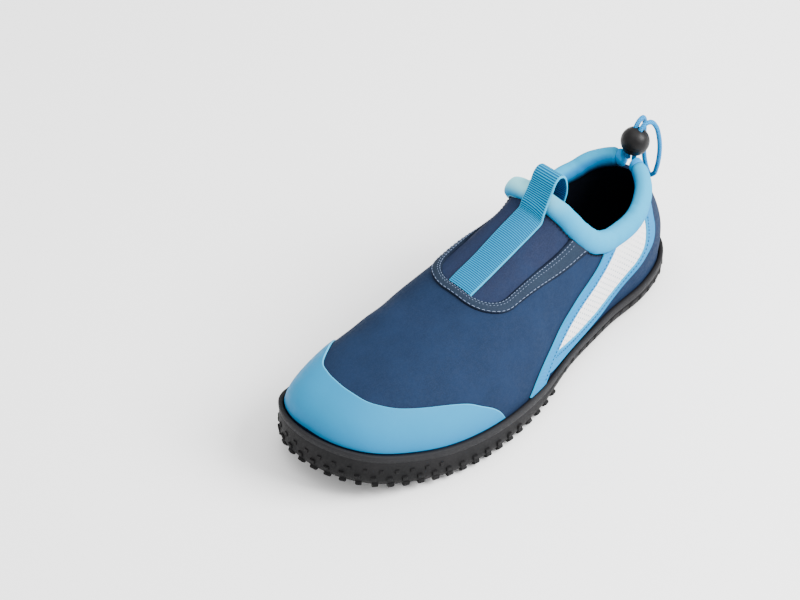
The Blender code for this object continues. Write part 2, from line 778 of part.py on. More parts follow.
def band_outline(inset):
    """The panel band's outline in plan, open-ended over the collar, moved in by inset."""
    front = BAND_FRONT * LENGTH - inset
    outer = BAND_OUTER_SIDE - inset
    inner = BAND_INNER_SIDE + inset
    radius = BAND_CORNER - inset
    points = [(BAND_REAR * LENGTH, inner)]
    for centre_y, start in ((inner + radius, -90), (outer - radius, 0)):
        for k in range(7):
            angle = math.radians(start + 90 * k / 6)
            points.append((front - radius + radius * math.cos(angle), centre_y + radius * math.sin(angle)))
    points.append((BAND_REAR * LENGTH, outer))
    return points


def side_outline(rows, grow):
    """A side view outline, its corners softened, moved out by grow."""
    line = [(row.share * LENGTH, row.height) for row in rows]
    middle = np.mean(line, axis=0)
    points = along_curve(line, 30)
    along = np.gradient(points, axis=0)
    out = np.stack([along[:, 1], -along[:, 0]], 1)
    out /= np.linalg.norm(out, axis=1)[:, None]
    facing = ((points - middle) * out).sum() > 0
    return [tuple(point) for point in points + out * (grow if facing else -grow)]


def roll_axes(form, stations):
    """Along the seam: its points, the roll's way up, and the way out of it."""
    seam = form.ring(1.0, stations)
    around = np.roll(seam, -1, axis=0) - np.roll(seam, 1, axis=0)
    around /= np.linalg.norm(around, axis=1)[:, None]
    share = COLLAR_FRONT * share_at(np.linspace(0, 1, stations + 1))
    share = np.concatenate([share, share[-2:0:-1]])
    lean = np.radians(looked_up(ROLL_LEAN, "lean", share))
    tuck = -ROLL_TUCK * seam[:, 1] / np.abs(seam[:, 1]).max()
    up = np.stack([-np.sin(lean), tuck, np.cos(lean)], axis=1)
    up -= (up * around).sum(axis=1)[:, None] * around
    up /= np.linalg.norm(up, axis=1)[:, None]
    out = np.cross(up, around)
    return seam, around, up, out


def roll_body(form, grow):
    """The padded roll over the seam, open at the heel's back, its sections made larger by grow."""
    seam, _, up, out = roll_axes(form, ROLL_STATIONS)
    angles = np.linspace(0, 2 * math.pi, ROLL_SIDES, endpoint=False)
    rise = CLEARANCE * 2 + ROLL_HEIGHT / 2 - (ROLL_HEIGHT / 2 + grow) * np.cos(angles)
    bow = np.sign(np.sin(angles)) * np.abs(np.sin(angles)) ** ROLL_SQUARENESS
    swell = bow * (ROLL_DEPTH / 2 + grow) - UPPER_WALL / 2
    body = Body()
    rows = []
    for i in range(0 if grow else 1, len(seam)):
        rows.append(body.add(seam[i] + up[i] * rise[:, None] + out[i] * swell[:, None]))
    if grow:
        rows.append(rows[0])
    for low, high in zip(rows, rows[1:]):
        body.band(low, high)
    if not grow:
        body.faces.append(tuple(reversed(rows[0])))
        body.faces.append(tuple(rows[-1]))
    return body


def build_collar_space(form, collection):
    """The room that the roll takes, with its clearance all round."""
    space = new_object("collar_space", roll_body(form, CLEARANCE), collection)
    face_outward(space)
    space.hide_render = True
    space.display_type = "WIRE"
    return space


def build_cup_space(collection):
    """The room that the sole's cup takes, up to just over its rim."""
    body = Body()
    low = ring_with_height(-CUP_MARGIN, lambda x: x * 0 - SOLE_THICKNESS)
    high = ring_with_height(-CUP_MARGIN, lambda x: rim_height(x) + CLEARANCE)
    rings = [body.add(low), body.add(high)]
    body.band(*rings)
    for ring, points in zip(rings, (low, high)):
        rows = [body.add([(points[i] + points[-i]) / 2]) for i in range(1, STATIONS)]
        body.ladder(ring, rows, False)
    space = new_object("cup_space", body, collection)
    face_outward(space)
    space.hide_render = True
    space.display_type = "WIRE"
    return space


def build_collar(form, collection):
    """The padded roll on the upper's top edge. It is open at the heel's back, where the cord comes out."""
    collar = new_object("collar", roll_body(form, 0), collection)
    face_outward(collar)
    paint(collar, (0.33, 0.58, 0.71), 0.8)
    return collar


def build_webbing(form, collection):
    """The ribbed band: sewn to the instep, up over the collar, round in a loop and down inside the collar."""
    front = ROLL_STATIONS
    seam, _, up, out = roll_axes(form, front)
    near = seam[front - 4 : front + 5]
    near = near[np.argsort(near[:, 1])]
    edge = np.array([np.interp(WEBBING_ACROSS, near[:, 1], near[:, axis]) for axis in range(3)])
    up, out = up[front], out[front]
    half = WEBBING_WIDTH / 2
    offsets = np.linspace(-half, half, WEBBING_COLUMNS)
    rows = []
    for share in np.linspace(WEBBING_FRONT, COLLAR_FRONT + SEWN_REAR, SEWN_ROWS):
        rows.append([surface_at(form, share, edge[1] + offset, 2 * CLEARANCE) for offset in offsets])
    path = along_curve([(row.up, row.out) for row in LOOP_PATH], LOOP_ROWS)
    drop = np.array([surface_drop(form, edge[1], offset) for offset in offsets])
    for number, (a, b) in enumerate(path):
        flat = min(max(a / FLAT_FROM, 0), 1)
        if number > LOOP_ROWS / 3:
            flat = 1
        middle = edge + up * a + out * b
        rows.append([middle + np.array([0, offset, -fall * (1 - flat)]) for offset, fall in zip(offsets, drop)])
    rows = np.array(rows)
    along = np.gradient(rows, axis=0)
    across = np.gradient(rows, axis=1)
    normal = np.cross(along, across)
    normal /= np.linalg.norm(normal, axis=2)[..., None]
    normal *= math.copysign(1, normal[0, 0, 2])
    body = Body()
    low = [body.add(row) for row in rows]
    high = [body.add(row) for row in rows + normal * WEBBING_THICKNESS]
    rings = [a + b[::-1] for a, b in zip(low, high)]
    for first, second in zip(rings, rings[1:]):
        body.band(first, second)
    body.faces.append(tuple(reversed(rings[0])))
    body.faces.append(tuple(rings[-1]))
    webbing = new_object("pull_webbing", body, collection)
    face_outward(webbing)
    paint(webbing, (0.10, 0.30, 0.47), 0.75)
    return webbing


def surface_at(form, share, y, lift):
    """The point of the upper's outside at a share of its length and a place across, lifted off it."""
    side = 1 if y > rounded(UPPER, "ridge", np.array(share)) * BALL_WIDTH else -1
    sines = np.linspace(SECTION_TOP, 1, SECTION_PLACES)
    points = form.point(np.full(SECTION_PLACES, share), side, sines)
    order = np.argsort(points[:, 1])
    here = np.array([np.interp(y, points[order, 1], points[order, axis]) for axis in range(3)])
    slope = []
    for dx, dy in ((STEP_ACROSS, 0), (0, STEP_ACROSS)):
        other = form.point(np.full(SECTION_PLACES, share + dx / LENGTH), side, sines)
        order = np.argsort(other[:, 1])
        slope.append((np.interp(y + dy, other[order, 1], other[order, 2]) - here[2]) / STEP_ACROSS)
    normal = np.array([-slope[0], -slope[1], 1])
    return here + normal / np.linalg.norm(normal) * lift


def surface_drop(form, middle, offset):
    """How far the upper falls between the webbing's middle and a place beside it, just ahead of the collar."""
    share = COLLAR_FRONT + 1.4 * SEWN_REAR
    return surface_at(form, share, middle, 0)[2] - surface_at(form, share, middle + offset, 0)[2]


def build_lock(collection, cutters):
    """The ball that grips the cord, with a slot for the cord's two runs."""
    bpy.ops.mesh.primitive_uv_sphere_add(segments=18, ring_count=10, radius=LOCK_DIAMETER / 2)
    ball = bpy.context.active_object
    ball.name = ball.data.name = "cord_lock"
    for other in ball.users_collection:
        other.objects.unlink(ball)
    collection.objects.link(ball)
    ball.location = (LOCK_PLACE[0], 0, LOCK_PLACE[1])
    lower, upper = CORD[1], CORD[3]
    lean = Vector((upper.x - lower.x, 0, upper.z - lower.z)).normalized()
    tilt = Matrix.Rotation(math.atan2(lean.x, lean.z), 4, "Y")
    half = CORD_DIAMETER / 2 + FIT
    outline = []
    for end, start in ((CORD[2].across, 0), (-CORD[2].across, 180)):
        for k in range(9):
            angle = math.radians(start + 180 * k / 8)
            outline.append((half * math.cos(angle), end + half * math.sin(angle)))
    slot = prism("lock_slot", outline, "z", -LOCK_DIAMETER, LOCK_DIAMETER, cutters)
    slot.data.transform(tilt)
    slot.location = ball.location
    join(ball, slot, "DIFFERENCE")
    paint(ball, (0.055, 0.053, 0.056), 0.45)
    return ball


def build_cord(collection):
    """One run of round cord: from one end of the collar, through the lock, round the loop and back."""
    half = [(row.x, row.across, row.z) for row in CORD]
    other = [(x, -y, z) for x, y, z in reversed(half)]
    points = along_curve(half + [CORD_BOTTOM] + other, CORD_POINTS)
    curve = bpy.data.curves.new("drawcord", "CURVE")
    curve.dimensions = "3D"
    curve.bevel_depth = CORD_DIAMETER / 2
    curve.bevel_resolution = 2
    curve.use_fill_caps = True
    spline = curve.splines.new("POLY")
    spline.points.add(len(points) - 1)
    for spot, point in zip(spline.points, points):
        spot.co = (*point, 1)
    cord = bpy.data.objects.new("drawcord", curve)
    collection.objects.link(cord)
    paint(cord, (0.15, 0.42, 0.60), 0.7)
    return cord


def centre_on_origin(shoe, cutters):
    """Moves everything so that the origin lies under the middle of the pieces, the cord left out."""
    bpy.context.view_layer.update()
    graph = bpy.context.evaluated_depsgraph_get()
    corners = []
    for thing in shoe.objects:
        if thing.type == "MESH":
            ready = thing.evaluated_get(graph)
            corners.extend(ready.matrix_world @ Vector(corner) for corner in ready.bound_box)
    middle = (np.min(corners, axis=0) + np.max(corners, axis=0)) / 2
    for thing in (*shoe.objects, *cutters.objects):
        thing.location.x -= middle[0]
        thing.location.y -= middle[1]


def main():
    for thing in list(bpy.data.objects):
        bpy.data.objects.remove(thing)
    shoe = bpy.data.collections.new("water_shoe")
    cutters = bpy.data.collections.new("cutters")
    for collection in (shoe, cutters):
        bpy.context.scene.collection.children.link(collection)
    cutters.hide_render = True

    form = UpperForm()
    build_outsole(shoe)
    build_insole(shoe)
    collar_space = build_collar_space(form, cutters)
    cup_space = build_cup_space(cutters)
    build_upper(form, shoe, collar_space)
    spaces = [cup_space, collar_space]

    cap = prism("cap_region", cap_outline(), "z", 0, TALLEST, cutters)
    overlay("toe_cap", form, shoe, CLEARANCE, CAP_THICKNESS, cap, [cup_space], (0.14, 0.42, 0.62), 0.6)

    band_keep = prism("band_region", band_outline(0), "z", BAND_LOWEST, TALLEST, cutters)
    band_drop = prism("band_inside", band_outline(BAND_WIDTH), "z", BAND_LOWEST - FIT, TALLEST + FIT, cutters)
    navy = (0.04, 0.09, 0.19)
    overlay("panel_band", form, shoe, CLEARANCE, BAND_THICKNESS, band_keep, [band_drop, collar_space], navy, 0.8)

    blue = (0.16, 0.46, 0.68)
    white = (0.75, 0.76, 0.73)
    for name, side in (("lateral", 1), ("medial", -1)):
        trim_keep = prism(f"trim_region_{name}", side_outline(TRIM_EDGE, 0), "y", 0, side * BALL_WIDTH, cutters)
        window = prism(f"trim_window_{name}", side_outline(MESH_EDGE, 0), "y", -side * FIT, side * LENGTH, cutters)
        mesh_keep = prism(f"mesh_region_{name}", side_outline(MESH_EDGE, -CLEARANCE), "y", 0, side * BALL_WIDTH, cutters)
        overlay(f"trim_{name}", form, shoe, CLEARANCE, TRIM_THICKNESS, trim_keep, [window] + spaces, blue, 0.6)
        overlay(f"mesh_{name}", form, shoe, CLEARANCE, MESH_THICKNESS, mesh_keep, [collar_space], white, 0.8)

    build_collar(form, shoe)
    build_webbing(form, shoe)
    build_lock(shoe, cutters)
    build_cord(shoe)
    centre_on_origin(shoe, cutters)


main()
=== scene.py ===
"""The looks of the left water shoe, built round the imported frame.

Metres. Each form is worked out with x counted from the heel's back and y from the lock's middle, as the part's
own tables have it, and is moved into the frame when its object is made.
"""

import math
from collections import namedtuple

import bmesh
import bpy
import numpy as np
from mathutils import Matrix, Vector


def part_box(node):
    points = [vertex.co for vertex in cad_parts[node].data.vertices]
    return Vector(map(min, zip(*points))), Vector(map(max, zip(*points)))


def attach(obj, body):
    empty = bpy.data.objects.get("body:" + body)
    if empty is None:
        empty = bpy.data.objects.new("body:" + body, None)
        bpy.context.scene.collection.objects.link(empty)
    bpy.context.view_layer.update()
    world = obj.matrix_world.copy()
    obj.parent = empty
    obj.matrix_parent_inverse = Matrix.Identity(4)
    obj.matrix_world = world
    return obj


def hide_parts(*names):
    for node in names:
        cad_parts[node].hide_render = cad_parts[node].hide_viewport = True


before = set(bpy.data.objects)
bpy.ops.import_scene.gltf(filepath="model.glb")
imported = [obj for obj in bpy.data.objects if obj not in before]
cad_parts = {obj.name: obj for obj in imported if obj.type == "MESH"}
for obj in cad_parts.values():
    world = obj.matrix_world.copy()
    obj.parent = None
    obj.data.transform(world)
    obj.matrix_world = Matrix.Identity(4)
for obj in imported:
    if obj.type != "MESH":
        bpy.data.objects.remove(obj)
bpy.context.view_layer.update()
lock_low, lock_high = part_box("cord_lock")
SHIFT = np.array([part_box("outsole")[0].x, (lock_low.y + lock_high.y) / 2, 0])


def named_rows(fields, *rows):
    """A table whose rows' values are read by name."""
    row_kind = namedtuple("Row", fields)
    return tuple(row_kind(*row) for row in rows)


# The shoe's own sizes, as the part has them
LENGTH = 0.288
BALL_WIDTH = 0.105
INSTEP_HEIGHT = 0.097
CLEARANCE = 0.0003
FIT = 0.0005
RIM_THICKNESS = 0.0028
SOLE_THICKNESS = 0.0050
NUB_HEIGHT = 0.0020
RIDGE_WIDTH = 0.0042
INSOLE_THICKNESS = 0.0030
UPPER_WALL = 0.0024
LEAN_REACH = 0.45
BULGE_START = 0.0010
BULGE_SPAN = 0.062
CAP_THICKNESS = 0.0008
TRIM_THICKNESS = 0.0011
MESH_THICKNESS = 0.0006
BAND_THICKNESS = 0.0010
BAND_WIDTH = 0.0058
ROLL_HEIGHT = 0.0138
ROLL_DEPTH = 0.0098
ROLL_SQUARENESS = 0.8
ROLL_START = 1 / 24
WEBBING_WIDTH = 0.0170
WEBBING_THICKNESS = 0.0012
WEBBING_ACROSS = 0.0010
CORD_DIAMETER = 0.0030
LOCK_DIAMETER = 0.0172
LOCK_PLACE = (0.0208, 0.0950)

# share of LENGTH from the heel, and the outline's two half widths as shares of BALL_WIDTH
OUTLINE = named_rows(
    "share outer inner",
    (0.000, 0.000, 0.000), (0.020, 0.133, 0.143), (0.070, 0.233, 0.248), (0.140, 0.290, 0.305),
    (0.260, 0.314, 0.314), (0.400, 0.390, 0.295), (0.540, 0.495, 0.352), (0.680, 0.533, 0.451),
    (0.790, 0.492, 0.470), (0.880, 0.403, 0.448), (0.950, 0.283, 0.386), (0.985, 0.139, 0.262),
    (1.000, -0.071, 0.071),
)

# share of LENGTH, the underside's height above its flat part, and the side's height above the underside
SOLE = named_rows(
    "share under side",
    (0.00, 0.0030, 0.0125), (0.06, 0.0000, 0.0140), (0.28, 0.0000, 0.0125), (0.42, 0.0022, 0.0120),
    (0.56, 0.0000, 0.0160), (0.74, 0.0000, 0.0200), (0.88, 0.0040, 0.0225), (1.00, 0.0120, 0.0240),
)

# share of the upper's length, the ridge's place across as a share of BALL_WIDTH, the height of the section's
# top, how square each half of the section is, and how far each side swells past the sole
UPPER = named_rows(
    "share ridge top outer_power inner_power outer_bulge inner_bulge",
    (0.00, 0.000, 0.154, 2.6, 2.6, 0.0010, 0.0010), (0.10, 0.000, 0.146, 2.6, 2.6, 0.0015, 0.0015),
    (0.20, -0.010, 0.133, 2.6, 2.7, 0.0020, 0.0035), (0.30, -0.030, 0.114, 2.5, 3.1, 0.0020, 0.0070),
    (0.37, -0.050, 0.097, 2.4, 3.4, 0.0010, 0.0090), (0.45, -0.065, 0.0885, 2.3, 3.4, 0.0000, 0.0090),
    (0.55, -0.075, 0.0790, 2.3, 3.0, 0.0000, 0.0065), (0.65, -0.075, 0.0715, 2.4, 2.7, 0.0000, 0.0025),
    (0.75, -0.075, 0.0660, 2.5, 2.6, 0.0000, 0.0000), (0.85, -0.075, 0.0600, 2.7, 2.9, 0.0000, 0.0000),
    (0.92, -0.075, 0.0545, 2.8, 3.0, 0.0000, 0.0000), (0.96, -0.073, 0.0492, 2.8, 3.0, 0.0000, 0.0000),
    (0.985, -0.072, 0.0420, 2.8, 3.0, 0.0000, 0.0000), (1.00, -0.071, 0.0190, 2.8, 3.0, 0.0000, 0.0000),
)
COLLAR_FRONT = 0.37
COLLAR_DIP = 0.20
FRONT_ROUNDING = 4.0

# share of the upper's length, and the height of the seam below the collar on each side
COLLAR = named_rows(
    "share outer inner",
    (0.00, 0.0745, 0.0745), (0.06, 0.0690, 0.0700), (0.12, 0.0625, 0.0650), (0.20, 0.0590, 0.0635),
    (0.26, 0.0610, 0.0670), (0.31, 0.0690, 0.0760), (0.345, 0.0810, 0.0865), (0.37, 0.0970, 0.0970),
)

# share of the upper's length, and how many degrees the roll leans back from upright there
ROLL_LEAN = named_rows(
    "share lean",
    (0.00, -24), (0.08, -16), (0.16, -4), (0.24, 14), (0.31, 36), (0.37, 54),
)
ROLL_TUCK = 0.16

# height, and how far the heel's back leans forward there
LEAN = named_rows(
    "height shift",
    (0.000, 0.000), (0.018, 0.000), (0.026, -0.0008), (0.036, 0.000), (0.050, 0.0045), (0.062, 0.0100),
    (0.072, 0.0155), (0.090, 0.0250),
)

# the toe cap's rear edge in plan: share of LENGTH, and place across as a share of BALL_WIDTH
CAP_EDGE = named_rows(
    "share across",
    (0.715, -0.560), (0.780, -0.400), (0.838, -0.305), (0.876, -0.245), (0.893, -0.165), (0.899, -0.085),
    (0.901, 0.020), (0.888, 0.168), (0.852, 0.273), (0.803, 0.350), (0.762, 0.396), (0.729, 0.430),
    (0.695, 0.465), (0.655, 0.492), (0.600, 0.524),
)

# the side trim's lines in side view, each from the sole or the window's tip up to the collar
STRIP_OUTER = named_rows(
    "share height",
    (0.622, 0.0060), (0.564, 0.0196), (0.516, 0.0303), (0.475, 0.0358), (0.445, 0.0396), (0.405, 0.0442),
    (0.366, 0.0491), (0.326, 0.0540), (0.295, 0.0585), (0.275, 0.0637), (0.262, 0.0700), (0.252, 0.0800),
)
STRIP_INNER = named_rows(
    "share height",
    (0.580, 0.0050), (0.530, 0.0130), (0.497, 0.0210), (0.461, 0.0283), (0.420, 0.0335), (0.385, 0.0385),
    (0.345, 0.0434), (0.305, 0.0482), (0.272, 0.0530), (0.246, 0.0590), (0.225, 0.0680), (0.212, 0.0800),
)
LOWER_OUTER = named_rows(
    "share height",
    (0.520, 0.0235), (0.498, 0.0206), (0.445, 0.0180), (0.395, 0.0172), (0.336, 0.0172), (0.290, 0.0190),
    (0.250, 0.0234), (0.210, 0.0286), (0.170, 0.0325), (0.135, 0.0358), (0.110, 0.0415), (0.102, 0.0500),
    (0.105, 0.0600), (0.118, 0.0800),
)
LOWER_INNER = named_rows(
    "share height",
    (0.485, 0.0294), (0.461, 0.0283), (0.425, 0.0258), (0.391, 0.0243), (0.349, 0.0243), (0.299, 0.0259),
    (0.248, 0.0300), (0.203, 0.0351), (0.165, 0.0397), (0.142, 0.0455), (0.137, 0.0530), (0.140, 0.0620),
    (0.150, 0.0800),
)
WINDOW_FRONT = STRIP_INNER[3:]
WINDOW_REAR = LOWER_INNER[1:]

# the panel band in plan: its front as a share of LENGTH, its two sides and the radius of its corners
BAND_FRONT = 0.612
BAND_REAR = 0.300
BAND_OUTER_SIDE = 0.0285
BAND_INNER_SIDE = -0.0280
BAND_CORNER = 0.0220

# the webbing's run over the collar: up along the roll from its seam, and out from the upper's surface
LOOP_PATH = named_rows(
    "up out",
    (0.0005, 0.0034), (0.0070, 0.0056), (0.0120, 0.0078), (0.0165, 0.0100), (0.0202, 0.0098),
    (0.0220, 0.0064), (0.0208, 0.0010), (0.0165, -0.0055), (0.0105, -0.0090), (0.0040, -0.0100),
)
WEBBING_FRONT = 0.594
SEWN_REAR = 0.014
FLAT_FROM = 0.006
SEWN_ROWS = 12
LOOP_ROWS = 26

# one half of the cord, from the collar's end up through the lock and round the hanging loop
CORD = named_rows(
    "x across z",
    (0.0236, 0.0021, 0.0825), (0.0232, 0.0021, 0.0880), (0.0208, 0.0019, 0.0950), (0.0188, 0.0019, 0.1025),
    (0.0154, 0.0022, 0.1054), (0.0110, 0.0032, 0.1050), (0.0076, 0.0044, 0.1004), (0.0060, 0.0056, 0.0932),
    (0.0052, 0.0062, 0.0844), (0.0050, 0.0058, 0.0760), (0.0048, 0.0044, 0.0680), (0.0046, 0.0024, 0.0625),
)
CORD_BOTTOM = (0.0052, 0.0000, 0.0607)

# The sole's pattern: the ball's medallion, the heel plate, and where the wavy cross grooves lie
MEDALLION = ((0.835, -0.100), (0.540, -0.340), (0.540, 0.350))
MEDALLION_CORNER = 0.0160
MEDALLION_STEP = 0.0066
PLATE_REAR = 0.075
PLATE_FRONT = 0.205
PLATE_HALF = 0.0130
GROOVES = (0.126, 0.109, 0.093, 0.076, 0.060, 0.045, 0.030)
GROOVE_WAVE = 0.0065
GROOVE_SPAN = 0.096
GROOVE_WIDTH = 0.0009
GROOVE_DEPTH = 0.0009

# soft creases: a line in plan (x, y) or side view (x, z), its half width, and its depth, negative in a trough
CREASES = named_rows(
    "view x0 a0 x1 a1 width depth",
    ("top", 0.196, -0.034, 0.190, 0.026, 0.0085, -0.0007),
    ("top", 0.212, -0.030, 0.206, 0.018, 0.0080, 0.0004),
    ("top", 0.176, 0.018, 0.140, 0.036, 0.0060, -0.0007),
    ("top", 0.186, 0.030, 0.150, 0.044, 0.0080, 0.0005),
    ("top", 0.150, -0.006, 0.122, 0.016, 0.0070, -0.0005),
    ("top", 0.160, -0.020, 0.128, -0.022, 0.0060, -0.0004),
    ("outer", 0.176, 0.052, 0.160, 0.030, 0.0060, -0.0006),
    ("outer", 0.122, 0.062, 0.138, 0.048, 0.0050, -0.0006),
    ("inner", 0.118, 0.070, 0.134, 0.040, 0.0075, -0.0009),
    ("inner", 0.100, 0.062, 0.104, 0.034, 0.0070, -0.0007),
    ("inner", 0.160, 0.052, 0.172, 0.030, 0.0080, -0.0007),
    ("inner", 0.080, 0.052, 0.076, 0.030, 0.0060, 0.0006),
    ("outer", 0.034, 0.058, 0.040, 0.036, 0.0060, -0.0006),
    ("inner", 0.034, 0.058, 0.040, 0.036, 0.0060, -0.0006),
)
PANEL_GROOVE = 0.0006
PANEL_GROOVE_WIDTH = 0.0007
PANEL_DROP = 0.0002
# where the panel's relief and its tint fade out below, and to the rear
PANEL_RELIEF_HEIGHTS = (0.056, 0.064)
PANEL_RELIEF_REAR = (0.085, 0.095)
PANEL_TINT_HEIGHTS = (0.056, 0.062)
PANEL_TINT_REAR = (0.08, 0.09)
PANEL_TINT_EDGE = 0.001

# the toe cap's rows: close ones behind its cut edge, as shares of the way to the tip, and then even ones
CAP_EDGE_STEPS = (0, 0.0015, 0.004, 0.008, 0.014)
CAP_EVEN_FROM = 0.022
CAP_ROUNDING = 0.0008
# places across the band's strip, and the radius of its edges
BAND_PLACES = (0, 0.0003, 0.0008, 0.0016, 0.0024, 0.0034, 0.0042, 0.0050, 0.0055, BAND_WIDTH)
BAND_ROUNDING = 0.0008
TAPE_ROUNDING = 0.0007
MESH_ROUNDING = 0.0005

# how far above its seam the collar hides the band's ends, as a sine of the section's angle
BAND_TUCK = 0.02
# how far above its seam the collar hides the ends of what runs up to it
SEAM_TUCK = 0.0012
# how the roll departs from an even one: lower over the instep, raised and closer at its ends, and fuller at its
# inner corner, which lies furthest along CORNER_WAY
ROLL_FRONT_LOWER = 0.0020
ROLL_FRONT_REACH = 0.030
END_RISE = 0.0014
END_CLOSE = 0.0006
END_RISE_REACH = 0.020
CORNER_BULGE = 0.0036
CORNER_REACH = 0.020
CORNER_WAY = np.array([0.668, -0.744, 0])
CUFF_LENGTH = 0.0048
CUFF_STEP = 0.0007

# stitches: their pitch, length and radius; on the band also the two columns of its strip that they lie between
BAND_STITCHES = named_rows(
    "first second pitch length radius",
    (2, 2, 0.0030, 0.0023, 0.00016),
    (7, 7, 0.0021, 0.0014, 0.00015),
    (6, 5, 0.0021, 0.0010, 0.00013),
)
TAPE_STITCHES = (0.0024, 0.0015, 0.00022)
COLLAR_STITCHES = (0.0026, 0.0019, 0.00032)

# the lock's parting seam and its lower flange: their height as a share of its radius, the angle at which they
# lie, and their half width
LOCK_SEAM_DEPTH = 0.018
LOCK_SEAM_ANGLE = 1.30
LOCK_SEAM_WIDTH = 0.035
LOCK_FLANGE_HEIGHT = 0.035
LOCK_FLANGE_ANGLE = 0.62
LOCK_FLANGE_WIDTH = 0.10

# the collar's soft wrinkles: their height, and the pitch of the broad and the fine ones
WRINKLE_HEIGHT = 0.00016
WRINKLE_PITCH = 0.021
FINE_WRINKLE_PITCH = 0.0093

# the webbing's ribs on its face and back, and the height of its selvedge
RIB_HEIGHT = 0.00022
BACK_RIB_HEIGHT = 0.0001
SELVEDGE_HEIGHT = 0.00014
# the cord's braid: the pitch of its strands, their number round the cord, and the UV length round it
STRAND_PITCH = 0.0028
STRANDS = 4
CORD_ROUND = 0.0084

# the sole's side from the bottom up, and over the lip to the cup's floor: how far in from the outline, its
# height above the underside, rim or floor, and the lip's tint
WALL = named_rows(
    "inset above height lip",
    (0.0050, "under", 0.0000, 0.0), (0.0032, "under", 0.0005, 0.0), (0.0018, "under", 0.0016, 0.0),
    (0.0009, "under", 0.0032, 0.0), (0.0004, "under", 0.0055, 0.0), (0.0003, "under", 0.0075, 0.0),
    (0.0004, "rim", -0.0072, 0.2), (0.0005, "rim", -0.0060, 0.35), (0.0007, "rim", -0.0050, 0.5),
    (0.0004, "rim", -0.0044, 0.7), (0.0001, "rim", -0.0036, 0.8), (0.0000, "rim", -0.0024, 0.9),
    (0.0000, "rim", -0.0012, 1.0), (0.0003, "rim", -0.0004, 0.9), (0.0010, "rim", 0.0000, 0.7),
    (0.0021, "rim", 0.0000, 0.3), (0.0027, "rim", -0.0004, 0.0), (0.0028, "rim", -0.0012, 0.0),
    (RIM_THICKNESS, "floor", 0.0000, 0.0),
)

# rows of nubs round the sole's side: the shares of LENGTH they start and end at, where they stand, how steeply
# down they point, their size, and their pitch with its start
SIDE_NUBS = named_rows(
    "start end inset above slope width height pitch offset",
    (0.46, 1.01, 0.0020, 0.0012, 0.90, 0.0035, 0.0016, 0.0090, 0.0),
    (0.60, 1.01, 0.0004, 0.0064, 0.10, 0.0030, 0.0011, 0.0090, 0.5),
    (0.80, 1.01, 0.0004, 0.0118, 0.00, 0.0024, 0.0007, 0.0090, 0.0),
    (0.00, 0.46, 0.0004, 0.0058, 0.00, 0.0026, 0.0004, 0.0090, 0.5),
)
# the nubs under the sole: where their rows begin, their pitch, and their width ahead of the arch and behind it
NUBS_FROM = 0.006
NUBS_HALF_WIDTH = 0.064
NUBS_INSET = 0.0088
NUB_PITCH = 0.0079
NUB_WIDTH_AHEAD = 0.0037
NUB_WIDTH_BEHIND = 0.0028
ARCH_SHARE = 0.46
# how far the nubs keep from the ridges, the heel plate and the grooves
NUBS_OFF_RIDGES = 0.0045
NUBS_OFF_PLATE = 0.004
NUBS_OFF_GROOVES = 0.0032
# a ridge's half width at its flat top and at its foot, as shares of RIDGE_WIDTH
RIDGE_TOP = 0.34
RIDGE_FOOT = 0.62
# the footbed's edge curls up by this much, over this reach
FOOTBED_CURL = 0.0012
FOOTBED_CURL_REACH = 0.009
# the bowed groove ahead of the ball: how far back from the tip, how strongly bowed, and its middle's place
TOE_GROOVE_BACK = 0.026
TOE_GROOVE_BOW = 9.0
TOE_GROOVE_ACROSS = 0.008

# How fine each form is
UPPER_LEVELS = 84
UPPER_STATIONS = 190
CAP_ROWS = 88
CAP_COLUMNS = 190
ROLL_STATIONS = 220
ROLL_SIDES = 48
SOLE_ROWS = 440
SOLE_COLUMNS = 120
RIB_PITCH = 0.00128
WEBBING_COLUMNS = 33
CORD_STEP = 0.0004
CORD_SIDES = 24
WINDOW_GRID = (110, 40)
TAPE_GRID = (150, 25)
BAND_STEPS = 60
INSOLE_ROWS = 150
INSOLE_COLUMNS = 40

# The photograph's camera: where it looks, from which side and how high, its roll, distance and lens
CAMERA_TARGET = np.array([0.150, 0.0, 0.030])
CAMERA_AZIMUTH = math.radians(131.9)
CAMERA_ELEVATION = math.radians(41.55)
CAMERA_ROLL = math.radians(1.52)
CAMERA_DISTANCE = 2.0305
CAMERA_LENS = 159.2
CAMERA_SHIFT = (-81.8 / 800, 29.9 / 800)


def colour(red, green, blue):
    """A screen colour as the linear one that a shader takes."""
    channels = np.array([red, green, blue]) / 255
    linear = np.where(channels <= 0.04045, channels / 12.92, ((channels + 0.055) / 1.055) ** 2.4)
    return (*linear.tolist(), 1.0)


def column(table, name):
    return np.array([getattr(row, name) for row in table])


def smooth(at, places, values, steady=False):
    """Cubic pieces through a table's values, whose slopes come from each row's neighbours.

    A steady one never overshoots.
    """
    gaps = np.diff(places)
    chords = np.diff(values) / gaps
    slopes = np.empty(len(values))
    slopes[1:-1] = (chords[:-1] * gaps[1:] + chords[1:] * gaps[:-1]) / (gaps[:-1] + gaps[1:])
    slopes[0] = 1.5 * chords[0] - 0.5 * slopes[1]
    slopes[-1] = 1.5 * chords[-1] - 0.5 * slopes[-2]
    if steady:
        least = np.minimum(np.abs(chords[:-1]), np.abs(chords[1:]))
        level = chords[:-1] * chords[1:] <= 0
        slopes[1:-1] = np.where(level, 0, np.clip(slopes[1:-1], -3 * least, 3 * least))
        slopes[0] = chords[0]
        slopes[-1] = chords[-1]
    at = np.clip(at, places[0], places[-1])
    row = np.clip(np.searchsorted(places, at, side="right") - 1, 0, len(gaps) - 1)
    u = (at - places[row]) / gaps[row]
    here = values[row] * (1 + 2 * u) * (1 - u) ** 2 + values[row + 1] * u**2 * (3 - 2 * u)
    return here + gaps[row] * (slopes[row] * u * (1 - u) ** 2 - slopes[row + 1] * u**2 * (1 - u))


